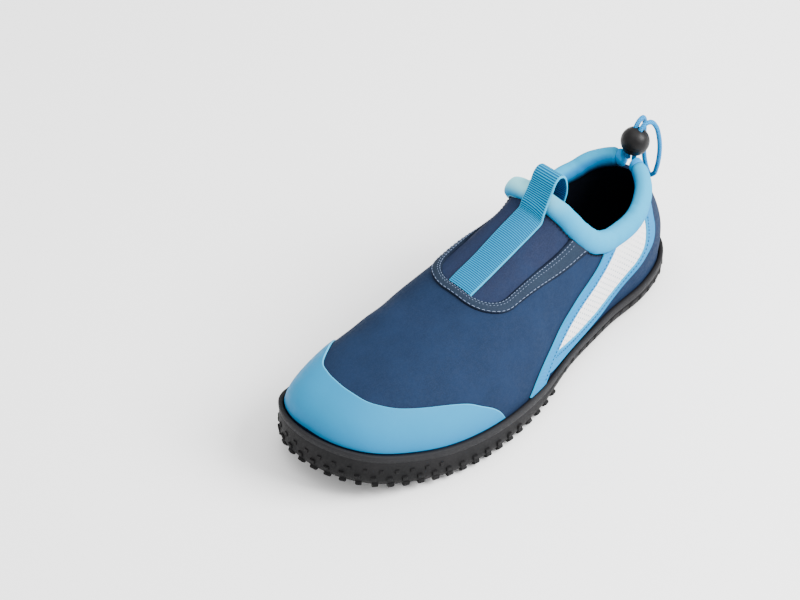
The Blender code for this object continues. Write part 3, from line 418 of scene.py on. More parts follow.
def looked_up(table, name, share):
    return smooth(share, column(table, "share"), column(table, name), steady=True)


def turn(share):
    """The share of the length as an angle's share, in which a round end becomes a straight line."""
    return np.arccos(np.clip(1 - 2 * np.asarray(share, float), -1, 1)) / math.pi


def share_at(turned):
    return (1 - np.cos(math.pi * np.asarray(turned, float))) / 2


def rounded(table, name, share):
    """A column that may fall to nothing at the ends, read so that it ends in a round and not in a point."""
    return smooth(turn(share), turn(column(table, "share")), column(table, name))


def fade(value, low, high):
    """From 0 at low to 1 at high, with soft ends."""
    t = np.clip((np.asarray(value, float) - low) / (high - low), 0, 1)
    return t * t * (3 - 2 * t)


def lengths_along(points):
    """How far along its line each point lies."""
    steps = np.linalg.norm(np.diff(points, axis=0), axis=1)
    return np.concatenate([[0], np.cumsum(steps)])


def along_curve(points, count):
    """A smooth run of count points through the given ones, spaced by their distance."""
    points = np.array(points, float)
    places = lengths_along(points)
    at = np.linspace(0, places[-1], count)
    return np.stack([smooth(at, places, points[:, axis]) for axis in range(points.shape[1])], axis=1)


def resampled(points, count):
    """Count points at even distances along a dense line."""
    places = lengths_along(points)
    at = np.linspace(0, places[-1], count)
    return np.stack([np.interp(at, places, points[:, axis]) for axis in range(points.shape[1])], axis=1)


def unit(vectors):
    return vectors / np.maximum(np.linalg.norm(vectors, axis=-1, keepdims=True), 1e-12)


def carried_normals(along):
    """A way across a line at each of its points, carried on from one to the next so that it never spins."""
    ways = [unit(np.cross(along[0], [0.0, 1.0, 0.0]))]
    for step in along[1:]:
        last = ways[-1]
        ways.append(unit(last - step * (last @ step)))
    return np.array(ways)


def inset_outline(inset):
    """The sole's outline moved in: its two ends in x, and each side's y over evenly turned shares."""
    dense = 400
    turned = np.linspace(0, 1, dense + 1)
    share = share_at(turned)
    x = share * LENGTH
    outer = np.stack([x, rounded(OUTLINE, "outer", share) * BALL_WIDTH], 1)
    inner = np.stack([x, -rounded(OUTLINE, "inner", share) * BALL_WIDTH], 1)
    ring = np.concatenate([outer, inner[-2:0:-1]])
    along = np.roll(ring, -1, axis=0) - np.roll(ring, 1, axis=0)
    ring = ring + unit(np.stack([along[:, 1], -along[:, 0]], 1)) * inset
    low, high = ring[0, 0], ring[dense, 0]
    places = turn(np.clip((ring[:, 0] - low) / (high - low), 0, 1))
    outer_y = np.interp(turned, places[: dense + 1], ring[: dense + 1, 1])
    back = np.concatenate([ring[dense:], ring[:1]])
    back_places = np.concatenate([places[dense:], places[:1]])
    return low, high, turned, outer_y, np.interp(turned, back_places[::-1], back[::-1, 1])


def outline_sides(inset, share):
    """The inset outline's points in plan at shares of its length: the outer side's, then the inner side's."""
    low, high, turned, outer, inner = inset_outline(inset)
    x = low + share * (high - low)
    return [np.stack([x, np.interp(turn(share), turned, side)], -1) for side in (outer, inner)]


def outline_ring(inset, share):
    """The inset outline as one ring, up the outer side and back down the inner one."""
    outer_side, inner_side = outline_sides(inset, share)
    return np.concatenate([outer_side, inner_side[-2:0:-1]])


def outline_sheet(inset, share, columns):
    """A grid in plan that fills the inset outline, and how far each of its points is from the nearer side."""
    outer_side, inner_side = outline_sides(inset, share)
    t = np.linspace(0, 1, columns)[None, :, None]
    plan = outer_side[:, None] * (1 - t) + inner_side[:, None] * t
    width = np.linalg.norm(outer_side - inner_side, axis=1)[:, None]
    return plan, np.minimum(t[..., 0], 1 - t[..., 0]) * width


def under_height(x):
    return NUB_HEIGHT + looked_up(SOLE, "under", x / LENGTH)


def rim_height(x):
    return under_height(x) + looked_up(SOLE, "side", x / LENGTH)


def cup_floor(x):
    return under_height(x) + SOLE_THICKNESS


def band_distance(x, y):
    """How far a place in plan lies outside the band's edge: a box with round corners, endless to the rear."""
    middle = (BAND_OUTER_SIDE + BAND_INNER_SIDE) / 2
    half = (BAND_OUTER_SIDE - BAND_INNER_SIDE) / 2
    ahead = x - (BAND_FRONT * LENGTH - BAND_CORNER)
    beside = np.abs(y - middle) - (half - BAND_CORNER)
    outside = np.hypot(np.maximum(ahead, 0), np.maximum(beside, 0))
    return outside + np.minimum(np.maximum(ahead, beside), 0) - BAND_CORNER


def relief(points):
    """How far the cloth stands out of its plain form.

    It is the sum of its creases, each a bell across its line, less the groove and the drop at the panel's edge.
    """
    x, y, z = np.moveaxis(points, -1, 0)
    total = np.zeros_like(x)
    seen = {"top": fade(z, 0.035, 0.050), "outer": fade(y, 0.002, 0.016), "inner": fade(-y, 0.002, 0.016)}
    for row in CREASES:
        a = y if row.view == "top" else z
        dx, da = row.x1 - row.x0, row.a1 - row.a0
        t = np.clip(((x - row.x0) * dx + (a - row.a0) * da) / (dx * dx + da * da), 0, 1)
        away = np.hypot(x - row.x0 - t * dx, a - row.a0 - t * da)
        total += row.depth * np.exp(-((away / row.width) ** 2)) * seen[row.view]
    inside = -band_distance(x, y) - BAND_WIDTH
    high = fade(z, *PANEL_RELIEF_HEIGHTS) * fade(x, *PANEL_RELIEF_REAR)
    total -= PANEL_GROOVE * np.exp(-((inside / PANEL_GROOVE_WIDTH) ** 2)) * high
    return total - PANEL_DROP * fade(inside, 0, 0.001) * high


class UpperForm:
    """The upper's outer surface: a rounded section across the foot at each share of its length."""

    def __init__(self):
        self.low, self.high, self.turned, self.outer, self.inner = inset_outline(RIM_THICKNESS + FIT)

    def x_of(self, share):
        return self.low + share * (self.high - self.low)

    def base(self, share):
        return cup_floor(self.x_of(share)) + CLEARANCE

    def top(self, share):
        return rounded(UPPER, "top", share) * INSTEP_HEIGHT / COLLAR[-1].outer

    def by_side(self, table, name, share, side):
        inner = looked_up(table, "inner" + name, share)
        return np.where(side > 0, looked_up(table, "outer" + name, share), inner)

    def sine_at(self, level, share, side):
        """The sine of the section's angle where a level's line crosses it; level 1 is the collar's seam."""
        front = 1 - level**2 * (1 - COLLAR_FRONT)
        drawn_out = COLLAR_DIP + (share - COLLAR_DIP) * (COLLAR_FRONT - COLLAR_DIP) / (front - COLLAR_DIP)
        seam_share = np.where(share < COLLAR_DIP, share, drawn_out)
        base = self.base(seam_share)
        power = self.by_side(UPPER, "_power", seam_share, side)
        seam = self.by_side(COLLAR, "", seam_share, side) * INSTEP_HEIGHT / COLLAR[-1].outer
        sine = level * np.clip((seam - base) / (self.top(seam_share) - base), 0, 1) ** (power / 2)
        between = np.maximum(level * (1 - level), 1e-4)
        tip = np.where((level > 0) & (level < 1), (share / front) ** (FRONT_ROUNDING / between), 0)
        return sine * (1 - tip) + tip

    def point(self, share, side, sine):
        """The point at a share of the length and a section's angle.

        Its height goes with sine^(2/power), and its width with (1-sine^2)^(1/power).
        """
        share, side, sine = np.broadcast_arrays(share, side, np.clip(sine, 0, 1))
        x = self.x_of(share)
        base = self.base(share)
        height = np.maximum(self.top(share) - base, CLEARANCE)
        power = self.by_side(UPPER, "_power", share, side)
        ridge = rounded(UPPER, "ridge", share) * BALL_WIDTH
        turned = turn(share)
        inner = np.interp(turned, self.turned, self.inner)
        edge = np.where(side > 0, np.interp(turned, self.turned, self.outer), inner)
        across = (1 - sine**2) ** (1 / power)
        z = base + height * sine ** (2 / power)
        swell = np.clip((z - rim_height(x) - BULGE_START) / BULGE_SPAN, 0, 1)
        bulge = self.by_side(UPPER, "_bulge", share, side)
        y = ridge + (edge - ridge) * across + side * bulge * 4 * swell * (1 - swell) * across
        return np.stack([x + self.lean(share, z), y, z], axis=-1)

    def lean(self, share, z):
        near_heel = np.clip(1 - share / LEAN_REACH, 0, 1) ** 2
        return smooth(z, column(LEAN, "height"), column(LEAN, "shift"), steady=True) * near_heel

    def normal(self, share, side, sine):
        """The way out of the surface, from its slopes along the shoe and round the section."""
        share, side, sine = np.broadcast_arrays(share, side, np.clip(sine, 0, 1))
        turned = turn(share)
        angle = np.arcsin(sine)

        def beside(along, around):
            near = np.sin(np.clip(angle + around, 0, math.pi / 2))
            return self.point(share_at(np.clip(turned + along, 0, 1)), side, near)

        along = beside(0.006, 0) - beside(-0.006, 0)
        around = beside(0, 0.04) - beside(0, -0.04)
        return side[..., None] * unit(np.cross(around, along))

    def skin(self, share, side, sine, lift=0.0):
        """The creased cloth's surface, moved out by lift."""
        points = self.point(share, side, sine)
        return points + self.normal(share, side, sine) * (relief(points) + lift)[..., None]

    def sine_across(self, share, y):
        """The side and the sine of the section's angle at a place across, found by halving."""
        share, y = np.broadcast_arrays(share, y)
        side = np.where(y > rounded(UPPER, "ridge", share) * BALL_WIDTH, 1.0, -1.0)
        low, high = np.full(share.shape, 0.25), np.ones(share.shape)
        for _ in range(26):
            middle = (low + high) / 2
            beyond = side * (self.point(share, side, middle)[..., 1] - y) > 0
            low, high = np.where(beyond, middle, low), np.where(beyond, high, middle)
        return side, (low + high) / 2

    def place_beside(self, x, z, side):
        """The share and sine of a place in side view, found by taking the heel's lean away again."""
        share = np.clip((x - self.low) / (self.high - self.low), 0, 1)
        for _ in range(6):
            share = np.clip((x - self.lean(share, z) - self.low) / (self.high - self.low), 0, 1)
        base = self.base(share)
        power = self.by_side(UPPER, "_power", share, side)
        return share, np.clip((z - base) / (self.top(share) - base), 0, 1) ** (power / 2)

    def seam_line(self, side, turned):
        share = COLLAR_FRONT * share_at(turned)
        return self.point(share, side, self.sine_at(1.0, share, side))


class Piece:
    """Gathers grids of points into one mesh. Each has its UV places in metres and a tint for its material."""

    def __init__(self, name):
        self.name = name
        self.parts = []
        self.count = 0

    def many(self, points, uv=None, tint=0.0, closed=False, finish=0):
        """Many like grids at once, as an array of grid, row, column and axis.

        A closed one joins its last column to its first.
        """
        number, rows, columns = points.shape[:3]
        i, j = np.meshgrid(np.arange(rows - 1), np.arange(columns if closed else columns - 1), indexing="ij")
        here, ahead = i * columns, (i + 1) * columns
        far = (j + 1) % columns
        quads = np.stack([here + j, ahead + j, ahead + far, here + far], -1)
        quads = quads.reshape(1, -1, 4) + (np.arange(number) * rows * columns)[:, None, None] + self.count
        if uv is None:
            corners = np.zeros((number, quads.shape[1], 4, 2))
        else:
            corners = np.stack([uv[i, j], uv[i + 1, j], uv[i + 1, j + 1], uv[i, j + 1]], 2)
            corners = np.broadcast_to(corners.reshape(1, -1, 4, 2), (number, quads.shape[1], 4, 2))
        tints = np.broadcast_to(tint, points.shape[:3]).reshape(-1)
        self.parts.append((points.reshape(-1, 3), quads.reshape(-1, 4), corners.reshape(-1, 2), tints, finish))
        self.count += number * rows * columns

    def grid(self, points, uv=None, tint=0.0, closed=False, finish=0):
        self.many(points[None], uv, tint, closed, finish)

    def shell(self, outer, inner, uv, tint=0.0, finishes=(0, 0), joined=False):
        """A closed wall between two like grids, with a strip along each edge. A joined one is a ring."""
        tint = np.broadcast_to(tint, outer.shape[:2])
        self.grid(outer, uv, tint, joined, finishes[0])
        self.grid(inner[::-1], uv[::-1], tint[::-1], joined, finishes[1])
        edges = (np.s_[0], np.s_[-1], np.s_[:, 0], np.s_[:, -1])
        for edge in edges[:2] if joined else edges:
            strip = np.stack([inner[edge], outer[edge]])
            strip_uv = np.stack([uv[edge], uv[edge]])
            self.grid(strip, strip_uv, np.stack([tint[edge], tint[edge]]), joined, finishes[0])

    def made(self, finishes, sharp=40):
        """The object: its doubled points are merged, and its faces are turned outwards."""
        points, quads, corners, tints, parts_slots = zip(*self.parts)
        mesh = bpy.data.meshes.new(self.name)
        mesh.from_pydata(np.concatenate(points) + SHIFT, [], np.concatenate(quads))
        mesh.uv_layers.new(name="UVMap").data.foreach_set("uv", np.concatenate(corners).ravel())
        mesh.attributes.new("tint", "FLOAT", "POINT").data.foreach_set("value", np.concatenate(tints))
        slots = np.concatenate([np.full(len(faces), slot) for faces, slot in zip(quads, parts_slots)])
        mesh.polygons.foreach_set("material_index", slots)
        for finish in finishes:
            mesh.materials.append(finish)
        work = bmesh.new()
        work.from_mesh(mesh)
        bmesh.ops.remove_doubles(work, verts=work.verts, dist=1e-6)
        bmesh.ops.dissolve_degenerate(work, edges=work.edges, dist=1e-7)
        bmesh.ops.recalc_face_normals(work, faces=work.faces)
        work.to_mesh(mesh)
        work.free()
        mesh.shade_smooth()
        mesh.set_sharp_from_angle(angle=math.radians(sharp))
        thing = bpy.data.objects.new(self.name, mesh)
        bpy.context.scene.collection.objects.link(thing)
        return thing


def placed(thing, slot, *nodes):
    """The piece rides on the shoe's one body and stands for its nodes, which it hides; its slot is not used."""
    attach(thing, "root")
    if nodes:
        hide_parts(*nodes)
    return thing


def edge_round(distance, radius):
    """A quarter round: 0 at the edge, 1 from a radius in."""
    return np.sqrt(1 - (1 - np.clip(distance / radius, 0, 1)) ** 2)


def add_thread(piece, path, normals, pitch, length, radius):
    """A row of stitches at even steps along a path: short round threads, arched, and thin at both ends."""
    places = lengths_along(path)
    steps = int(places[-1] / pitch)
    centres = (np.arange(steps) + 0.5) * places[-1] / steps
    share = np.linspace(-1, 1, 7)
    at = centres[:, None] + share * length / 2

    def read(values):
        return np.stack([np.interp(at, places, values[:, axis]) for axis in range(3)], axis=-1)

    out = unit(read(normals))
    across = unit(np.cross(unit(read(np.gradient(path, axis=0))), out))
    middle = read(path) + out * (radius * (1.3 * (1 - share**2) - 0.3))[None, :, None]
    thickness = radius * np.sqrt(1 - share**4)
    angles = np.linspace(0, 2 * math.pi, 6, endpoint=False)
    ring = out[:, :, None] * np.cos(angles)[:, None] + across[:, :, None] * np.sin(angles)[:, None]
    piece.many(middle[:, :, None] + ring * thickness[None, :, None, None], closed=True)


def socket_name(key):
    return key.replace("_", " ").title().replace("Ior", "IOR")


class Finish:
    """A Principled material, with short calls for the nodes that feed it."""

    def __init__(self, name, **constants):
        self.material = bpy.data.materials.new(name)
        self.material.use_nodes = True
        self.tree = self.material.node_tree
        self.shader = self.tree.nodes["Principled BSDF"]
        for key, value in constants.items():
            self.shader.inputs[socket_name(key)].default_value = value
        self.object_place = None

    def add(self, kind, inputs, **settings):
        node = self.tree.nodes.new("ShaderNode" + kind)
        for key, value in settings.items():
            setattr(node, key, value)
        for key, value in inputs.items():
            if isinstance(value, bpy.types.NodeSocket):
                self.tree.links.new(value, node.inputs[key])
            else:
                node.inputs[key].default_value = value
        return node

    def place(self):
        if self.object_place is None:
            self.object_place = self.add("TexCoord", {}).outputs["Object"]
        return self.object_place

    def tint(self):
        return self.add("Attribute", {}, attribute_name="tint").outputs["Fac"]

    def uv(self):
        """The two UV places, in metres."""
        split = self.add("SeparateXYZ", {"Vector": self.add("UVMap", {}, uv_map="UVMap").outputs["UV"]})
        return split.outputs["X"], split.outputs["Y"]

    def noise(self, scale, detail=3.0, roughness=0.55, place=None):
        inputs = {"Vector": place or self.place(), "Scale": scale, "Detail": detail, "Roughness": roughness}
        return self.add("TexNoise", inputs).outputs["Fac"]

    def sum(self, operation, first, second=0.0):
        return self.add("Math", {0: first, 1: second}, operation=operation).outputs[0]

    def span(self, value, low, high, start=0.0, end=1.0):
        """The value's place between low and high, with soft ends, as a number from start to end."""
        inputs = {"Value": value, "From Min": low, "From Max": high, "To Min": start, "To Max": end}
        return self.add("MapRange", inputs, interpolation_type="SMOOTHSTEP").outputs["Result"]

    def mix(self, share, first, second):
        node = self.add("Mix", {"Factor": share}, data_type="RGBA")
        for socket, value in ((node.inputs[6], first), (node.inputs[7], second)):
            if isinstance(value, bpy.types.NodeSocket):
                self.tree.links.new(value, socket)
            else:
                socket.default_value = value
        return node.outputs[2]

    def wave(self, value, pitch):
        """A soft wave from 0 to 1 once in each pitch."""
        turned = self.sum("MULTIPLY", value, 2 * math.pi / pitch)
        return self.half(self.sum("SINE", turned))

    def half(self, value):
        """A number from -1 to 1, as one from 0 to 1."""
        return self.add("Math", {0: value, 1: 0.5, 2: 0.5}, operation="MULTIPLY_ADD").outputs[0]

    def bump(self, height, distance, strength=1.0, under=None):
        inputs = {"Height": height, "Distance": distance, "Strength": strength}
        if under is not None:
            inputs["Normal"] = under
        return self.add("Bump", inputs).outputs["Normal"]

    def feed(self, **sockets):
        for key, value in sockets.items():
            self.tree.links.new(value, self.shader.inputs[socket_name(key)])
        return self.material


def navy_cloth(name, field, panel):
    """Brushed stretch cloth over foam: a fine mottled nap in two blues, more purple inside the panel. On the
    band its tinted colours are instead a painted shadow along the band's edges.
    """
    finish = Finish(name, specular_ior_level=0.06)
    nap = finish.noise(1500, 2)
    cloud = finish.noise(55, 3)
    light = finish.mix(finish.span(nap, 0.35, 0.7), field[0], field[1])
    inside = finish.mix(finish.span(nap, 0.35, 0.7), panel[0], panel[1])
    base = finish.mix(finish.tint(), light, inside)
    worn = finish.mix(finish.span(cloud, 0.35, 0.75, 0.0, 0.35), base, field[2])
    grain = finish.bump(finish.noise(2600, 2), 0.00010, 0.5)
    soft = finish.bump(finish.noise(160, 2), 0.00035, 0.35, grain)
    rough = finish.span(finish.noise(420, 2), 0.3, 0.7, 0.72, 0.88)
    return finish.feed(base_color=worn, roughness=rough, normal=soft)


def cap_film():
    """Smooth matt film bonded on the cloth, with a thin light cut edge. Painted shade deepens it toward the
    sole, so its top shows lighter as a painted sheen.
    """
    finish = Finish("cap_film", specular_ior_level=0.12)
    _, inward = finish.uv()
    cloud = finish.noise(38, 3)
    # painted shade and sheen: the tint deepens the colour toward the sole, which leaves the top lighter
    base = finish.mix(finish.tint(), colour(4, 118, 160), colour(0, 105, 150))
    base = finish.mix(finish.span(cloud, 0.35, 0.75, 0.0, 0.3), base, colour(2, 110, 156))
    edged = finish.mix(finish.span(inward, 0.0003, 0.0008), colour(60, 150, 188), base)
    grain = finish.bump(finish.noise(2200, 3), 0.00006, 0.45)
    soft = finish.bump(finish.noise(90, 2), 0.0005, 0.25, grain)
    rough = finish.span(finish.noise(300, 3), 0.3, 0.7, 0.46, 0.6)
    return finish.feed(base_color=edged, roughness=rough, normal=soft)


def trim_tape():
    """Light-blue bonded tape with a fine diagonal rib and paler cut edges."""
    finish = Finish("trim_tape", specular_ior_level=0.08)
    along, across = finish.uv()
    slant = finish.sum("ADD", along, finish.sum("MULTIPLY", across, 0.55))
    rib = finish.wave(slant, 0.00085)
    base = finish.mix(rib, colour(0, 98, 150), colour(0, 120, 172))
    base = finish.mix(finish.span(finish.noise(240, 3), 0.4, 0.8, 0.0, 0.3), base, colour(0, 108, 162))
    edged = finish.mix(finish.tint(), base, colour(14, 138, 182))
    raised = finish.bump(rib, 0.00012, 0.7)
    rough = finish.span(finish.noise(500, 2), 0.3, 0.7, 0.55, 0.7)
    return finish.feed(base_color=edged, roughness=rough, normal=raised)


def white_mesh():
    """Open white knit: holes in offset rows, with a darker ground showing through them."""
    finish = Finish("white_mesh", specular_ior_level=0.1)
    along, across = finish.uv()
    first = finish.wave(finish.sum("ADD", along, across), 0.0042)
    second = finish.wave(finish.sum("SUBTRACT", along, across), 0.0042)
    hole = finish.span(finish.sum("MULTIPLY", first, second), 0.62, 0.84)
    base = finish.mix(finish.noise(900, 2), colour(212, 211, 213), colour(228, 226, 227))
    holed = finish.mix(finish.sum("MULTIPLY", hole, finish.tint()), base, colour(112, 138, 156))
    sunk = finish.bump(hole, 0.00045, 0.9)
    sunk.node.invert = True
    rough = finish.span(hole, 0.0, 1.0, 0.75, 0.9)
    return finish.feed(base_color=holed, roughness=rough, normal=sunk)


def collar_cloth():
    """Smooth padded cloth, clear blue toward its seam, with painted light and shade: pale over the top and at
    the inner corner as a painted sheen, deep blue down inside as painted shade.
    """
    finish = Finish("collar_cloth", specular_ior_level=0.08)
    # painted light: the place round the roll, carried in the tint, makes its upper side paler
    base = finish.mix(finish.span(finish.tint(), 0.02, 0.34), colour(0, 118, 166), colour(20, 138, 178))
    # painted sheen: paler still near the inner corner, on the roll's upper side
    from_corner = finish.sum("ABSOLUTE", finish.uv()[0])
    near_corner = finish.span(from_corner, 0.012, 0.045, 1.0, 0.0)
    lit = finish.sum("MULTIPLY", near_corner, finish.span(finish.tint(), 0.05, 0.30))
    base = finish.mix(lit, base, colour(132, 208, 220))
    # painted shade: deeper blue, then navy, down the roll's inside
    base = finish.mix(finish.span(finish.tint(), 0.52, 0.66), base, colour(0, 112, 168))
    base = finish.mix(finish.span(finish.tint(), 0.66, 0.84), base, colour(0, 26, 54))
    cuffed = finish.mix(finish.span(finish.tint(), 1.5, 2.0), base, colour(4, 122, 180))
    base = finish.mix(finish.span(finish.noise(60, 3), 0.4, 0.8, 0.0, 0.12), cuffed, colour(18, 142, 188))
    grain = finish.bump(finish.noise(2400, 2), 0.00008, 0.5)
    soft = finish.bump(finish.noise(130, 2), 0.0005, 0.3, grain)
    rough = finish.span(finish.noise(400, 2), 0.3, 0.7, 0.68, 0.82)
    return finish.feed(base_color=base, roughness=rough, normal=soft)


def ribbed_webbing(name, rib_low, rib_high, groove_low, groove_high, edge):
    """Grosgrain webbing: light ribs over teal grooves, darker over the collar, with a light selvedge."""
    finish = Finish(name, specular_ior_level=0.1)
    along, across = finish.uv()
    rib = finish.wave(along, RIB_PITCH)
    fibres = finish.wave(across, 0.00042)
    # over the collar the face's ribs are lighter, the back's ribs and grooves darker, and more of the groove
    # shows
    over_collar = finish.tint()
    crest = finish.mix(over_collar, rib_low, rib_high)
    trough = finish.mix(over_collar, groove_low, groove_high)
    start = finish.span(over_collar, 0.0, 1.0, 0.30, 0.52)
    base = finish.mix(finish.span(rib, start, 0.95), trough, crest)
    base = finish.mix(finish.span(fibres, 0.2, 1.0, 0.0, 0.22), base, crest)
    from_middle = finish.sum("ABSOLUTE", across)
    rim = finish.span(from_middle, WEBBING_WIDTH / 2 - 0.0009, WEBBING_WIDTH / 2 - 0.0005)
    edged = finish.mix(rim, base, edge)
    raised = finish.bump(finish.sum("MULTIPLY", fibres, rib), 0.00012, 0.6)
    rough = finish.span(rib, 0.0, 1.0, 0.8, 0.58)
    return finish.feed(base_color=edged, roughness=rough, normal=raised)


def braided_cord():
    """Round braid: two crossing sets of strands, bright on top and deep blue between."""
    finish = Finish("braided_cord", specular_ior_level=0.12)
    along, around = finish.uv()
    left = finish.wave(finish.sum("ADD", along, around), 0.0014)
    right = finish.wave(finish.sum("SUBTRACT", along, around), 0.0014)
    strand = finish.sum("MAXIMUM", left, right)
    base = finish.mix(finish.span(strand, 0.3, 0.95), colour(0, 66, 116), colour(4, 126, 184))
    raised = finish.bump(strand, 0.0002, 0.8)
    rough = finish.span(strand, 0.0, 1.0, 0.8, 0.55)
    return finish.feed(base_color=base, roughness=rough, normal=raised)


def sole_rubber():
    """Moulded charcoal rubber, dusty on its high places and brownish at the lip."""
    finish = Finish("sole_rubber", specular_ior_level=0.09)
    cloud = finish.noise(42, 4)
    speck = finish.noise(900, 3)
    base = finish.mix(finish.span(cloud, 0.35, 0.7), colour(14, 14, 15), colour(22, 21, 22))
    base = finish.mix(finish.span(speck, 0.55, 0.75, 0.0, 0.35), base, colour(31, 30, 30))
    lipped = finish.mix(finish.tint(), base, colour(30, 30, 32))
    grain = finish.bump(finish.noise(1700, 3), 0.00012, 0.6)
    soft = finish.bump(finish.noise(110, 3), 0.0004, 0.3, grain)
    rough = finish.span(speck, 0.3, 0.7, 0.52, 0.72)
    return finish.feed(base_color=lipped, roughness=rough, normal=soft)


def lock_plastic():
    """Satin moulded plastic, charcoal with a warm cast."""
    finish = Finish("lock_plastic", specular_ior_level=0.14)
    base = finish.mix(finish.span(finish.noise(120, 3), 0.35, 0.7), colour(14, 13, 14), colour(21, 20, 20))
    grain = finish.bump(finish.noise(1500, 2), 0.00006, 0.5)
    rough = finish.span(finish.noise(500, 3), 0.3, 0.7, 0.36, 0.5)
    return finish.feed(base_color=base, roughness=rough, normal=grain)


def knit_lining(name, dark, light, pitch):
    """Plain fine knit, for the lining and the footbed."""
    finish = Finish(name, specular_ior_level=0.05)
    base = finish.mix(finish.noise(800, 3), dark, light)
    grain = finish.bump(finish.noise(1 / pitch, 2), 0.0002, 0.6)
    rough = finish.span(finish.noise(300, 2), 0.3, 0.7, 0.85, 0.95)
    return finish.feed(base_color=base, roughness=rough, normal=grain)


def thread(name, dark, light):
    """Twisted sewing thread, light and dark along its strands."""
    finish = Finish(name, specular_ior_level=0.1)
    twist = finish.noise(3000, 2)
    rough = finish.span(twist, 0.3, 0.7, 0.5, 0.7)
    strands = finish.mix(twist, dark, light)
    return finish.feed(base_color=strands, roughness=rough, normal=finish.bump(twist, 0.0001, 0.5))


def make_cord():
    """The drawcord: a round tube along a smooth curve through its route, whose halves mirror each other."""
    half = [(row.x, row.across, row.z) for row in CORD]
    other = [(x, -y, z) for x, y, z in reversed(half)]
    route = half + [CORD_BOTTOM] + other
    length = lengths_along(along_curve(route, 400))[-1]
    count = int(length / CORD_STEP)
    path = along_curve(route, count)
    along = unit(np.gradient(path, axis=0))
    side = unit(np.cross(along, carried_normals(along)))
    up = np.cross(side, along)
    angles = np.linspace(0, 2 * math.pi, CORD_SIDES + 1)
    places = lengths_along(path)
    strands = 0.5 + 0.5 * np.cos(places[:, None] * 2 * math.pi / STRAND_PITCH) * np.cos(STRANDS * angles)
    radius = CORD_DIAMETER / 2 * (0.93 + 0.07 * strands)
    round_off = edge_round(np.minimum(places, places[-1] - places), 0.0006)[:, None]
    ring = side[:, None] * np.cos(angles)[:, None] + up[:, None] * np.sin(angles)[:, None]
    tube = path[:, None] + ring * (radius * round_off)[..., None]
    uv = np.stack(np.broadcast_arrays(places[:, None], angles / (2 * math.pi) * CORD_ROUND), -1)
    piece = Piece("drawcord_braid")
    piece.grid(tube[:, :-1], uv, closed=True)
    cord = placed(piece.made([braided_cord()], sharp=80), "cord", "drawcord")


def make_lock():
    """The cord lock: a ball turned about the cord's line, open through a slot for the cord's two runs.

    A profile angle runs from the slot's lower mouth over the ball to its upper one, then back down the slot.
    """
    lean = unit(np.array([CORD[3].x - CORD[1].x, 0, CORD[3].z - CORD[1].z]))
    across = np.array([0.0, 1.0, 0.0])
    ahead = np.cross(across, lean)
    around = np.linspace(0, 2 * math.pi, 73)
    half = CORD_DIAMETER / 2 + FIT
    reach = CORD[2].across
    direction = np.stack([np.cos(around), np.sin(around)], -1)
    round_end = np.sqrt(np.maximum(half**2 - (reach * direction[:, 0]) ** 2, 1e-9))
    slot = reach * np.abs(direction[:, 1]) + round_end
    angle = np.linspace(0.02, math.pi - 0.02, 61)
    ball = LOCK_DIAMETER / 2
    seam = 1 - LOCK_SEAM_DEPTH * np.exp(-(((angle - LOCK_SEAM_ANGLE) / LOCK_SEAM_WIDTH) ** 2))
    flange = 1 + LOCK_FLANGE_HEIGHT * np.exp(-(((angle - LOCK_FLANGE_ANGLE) / LOCK_FLANGE_WIDTH) ** 4))
    swell = (seam * flange)[:, None]
    outer = np.maximum(ball * np.sin(angle)[:, None] * swell, slot)
    depth = np.sqrt(np.maximum((ball * swell) ** 2 - outer**2, 0)) * np.sign(-np.cos(angle))[:, None]
    outer = np.concatenate([outer, slot[None], slot[None]])
    heights = np.concatenate([depth, depth[-1:] * 0.3, depth[:1] * 0.3])
    radius = np.concatenate([outer, outer[:1]])
    heights = np.concatenate([heights, heights[:1]])
    centre = np.array([LOCK_PLACE[0], 0, LOCK_PLACE[1]])
    plane = ahead * direction[:, :1] + across * direction[:, 1:]
    points = centre + plane[None] * radius[..., None] + lean * heights[..., None]
    piece = Piece("cord_lock_ball")
    piece.grid(points)
    placed(piece.made([lock_plastic()], sharp=50), "lock_plastic", "cord_lock")


def make_upper(form):
    """The upper: levels from sole to collar by stations round the foot, its skin and lining a wall apart."""
    levels = np.linspace(0, 1, UPPER_LEVELS)[:, None]
    turned = np.linspace(0, 1, UPPER_STATIONS + 1)[None, :]
    share = (1 - levels**2 * (1 - COLLAR_FRONT)) * share_at(turned)
    skins = []
    for lift in (0, -UPPER_WALL):
        halves = [form.skin(share, side, form.sine_at(levels, share, side), lift) for side in (1.0, -1.0)]
        skins.append(np.concatenate([halves[0], halves[1][:, ::-1]], axis=1))
    outer, inner = skins
    inside = -band_distance(outer[..., 0], outer[..., 1]) - BAND_WIDTH
    tint = fade(inside, -PANEL_TINT_EDGE, PANEL_TINT_EDGE) * fade(outer[..., 2], *PANEL_TINT_HEIGHTS)
    tint = tint * fade(outer[..., 0], *PANEL_TINT_REAR)
    piece = Piece("upper_cloth")
    uv = np.zeros((outer.shape[0], outer.shape[1] + 1, 2))
    piece.shell(outer, inner, uv, tint, finishes=(0, 1), joined=True)
    field = (colour(20, 33, 54), colour(24, 38, 61), colour(26, 43, 70))
    panel = (colour(26, 33, 53), colour(31, 39, 61))
    cloth = navy_cloth("navy_cloth", field, panel)
    lining = knit_lining("dark_lining", colour(7, 9, 15), colour(12, 16, 25), 0.0009)
    placed(piece.made([cloth, lining], sharp=60), "navy_cloth", "upper")


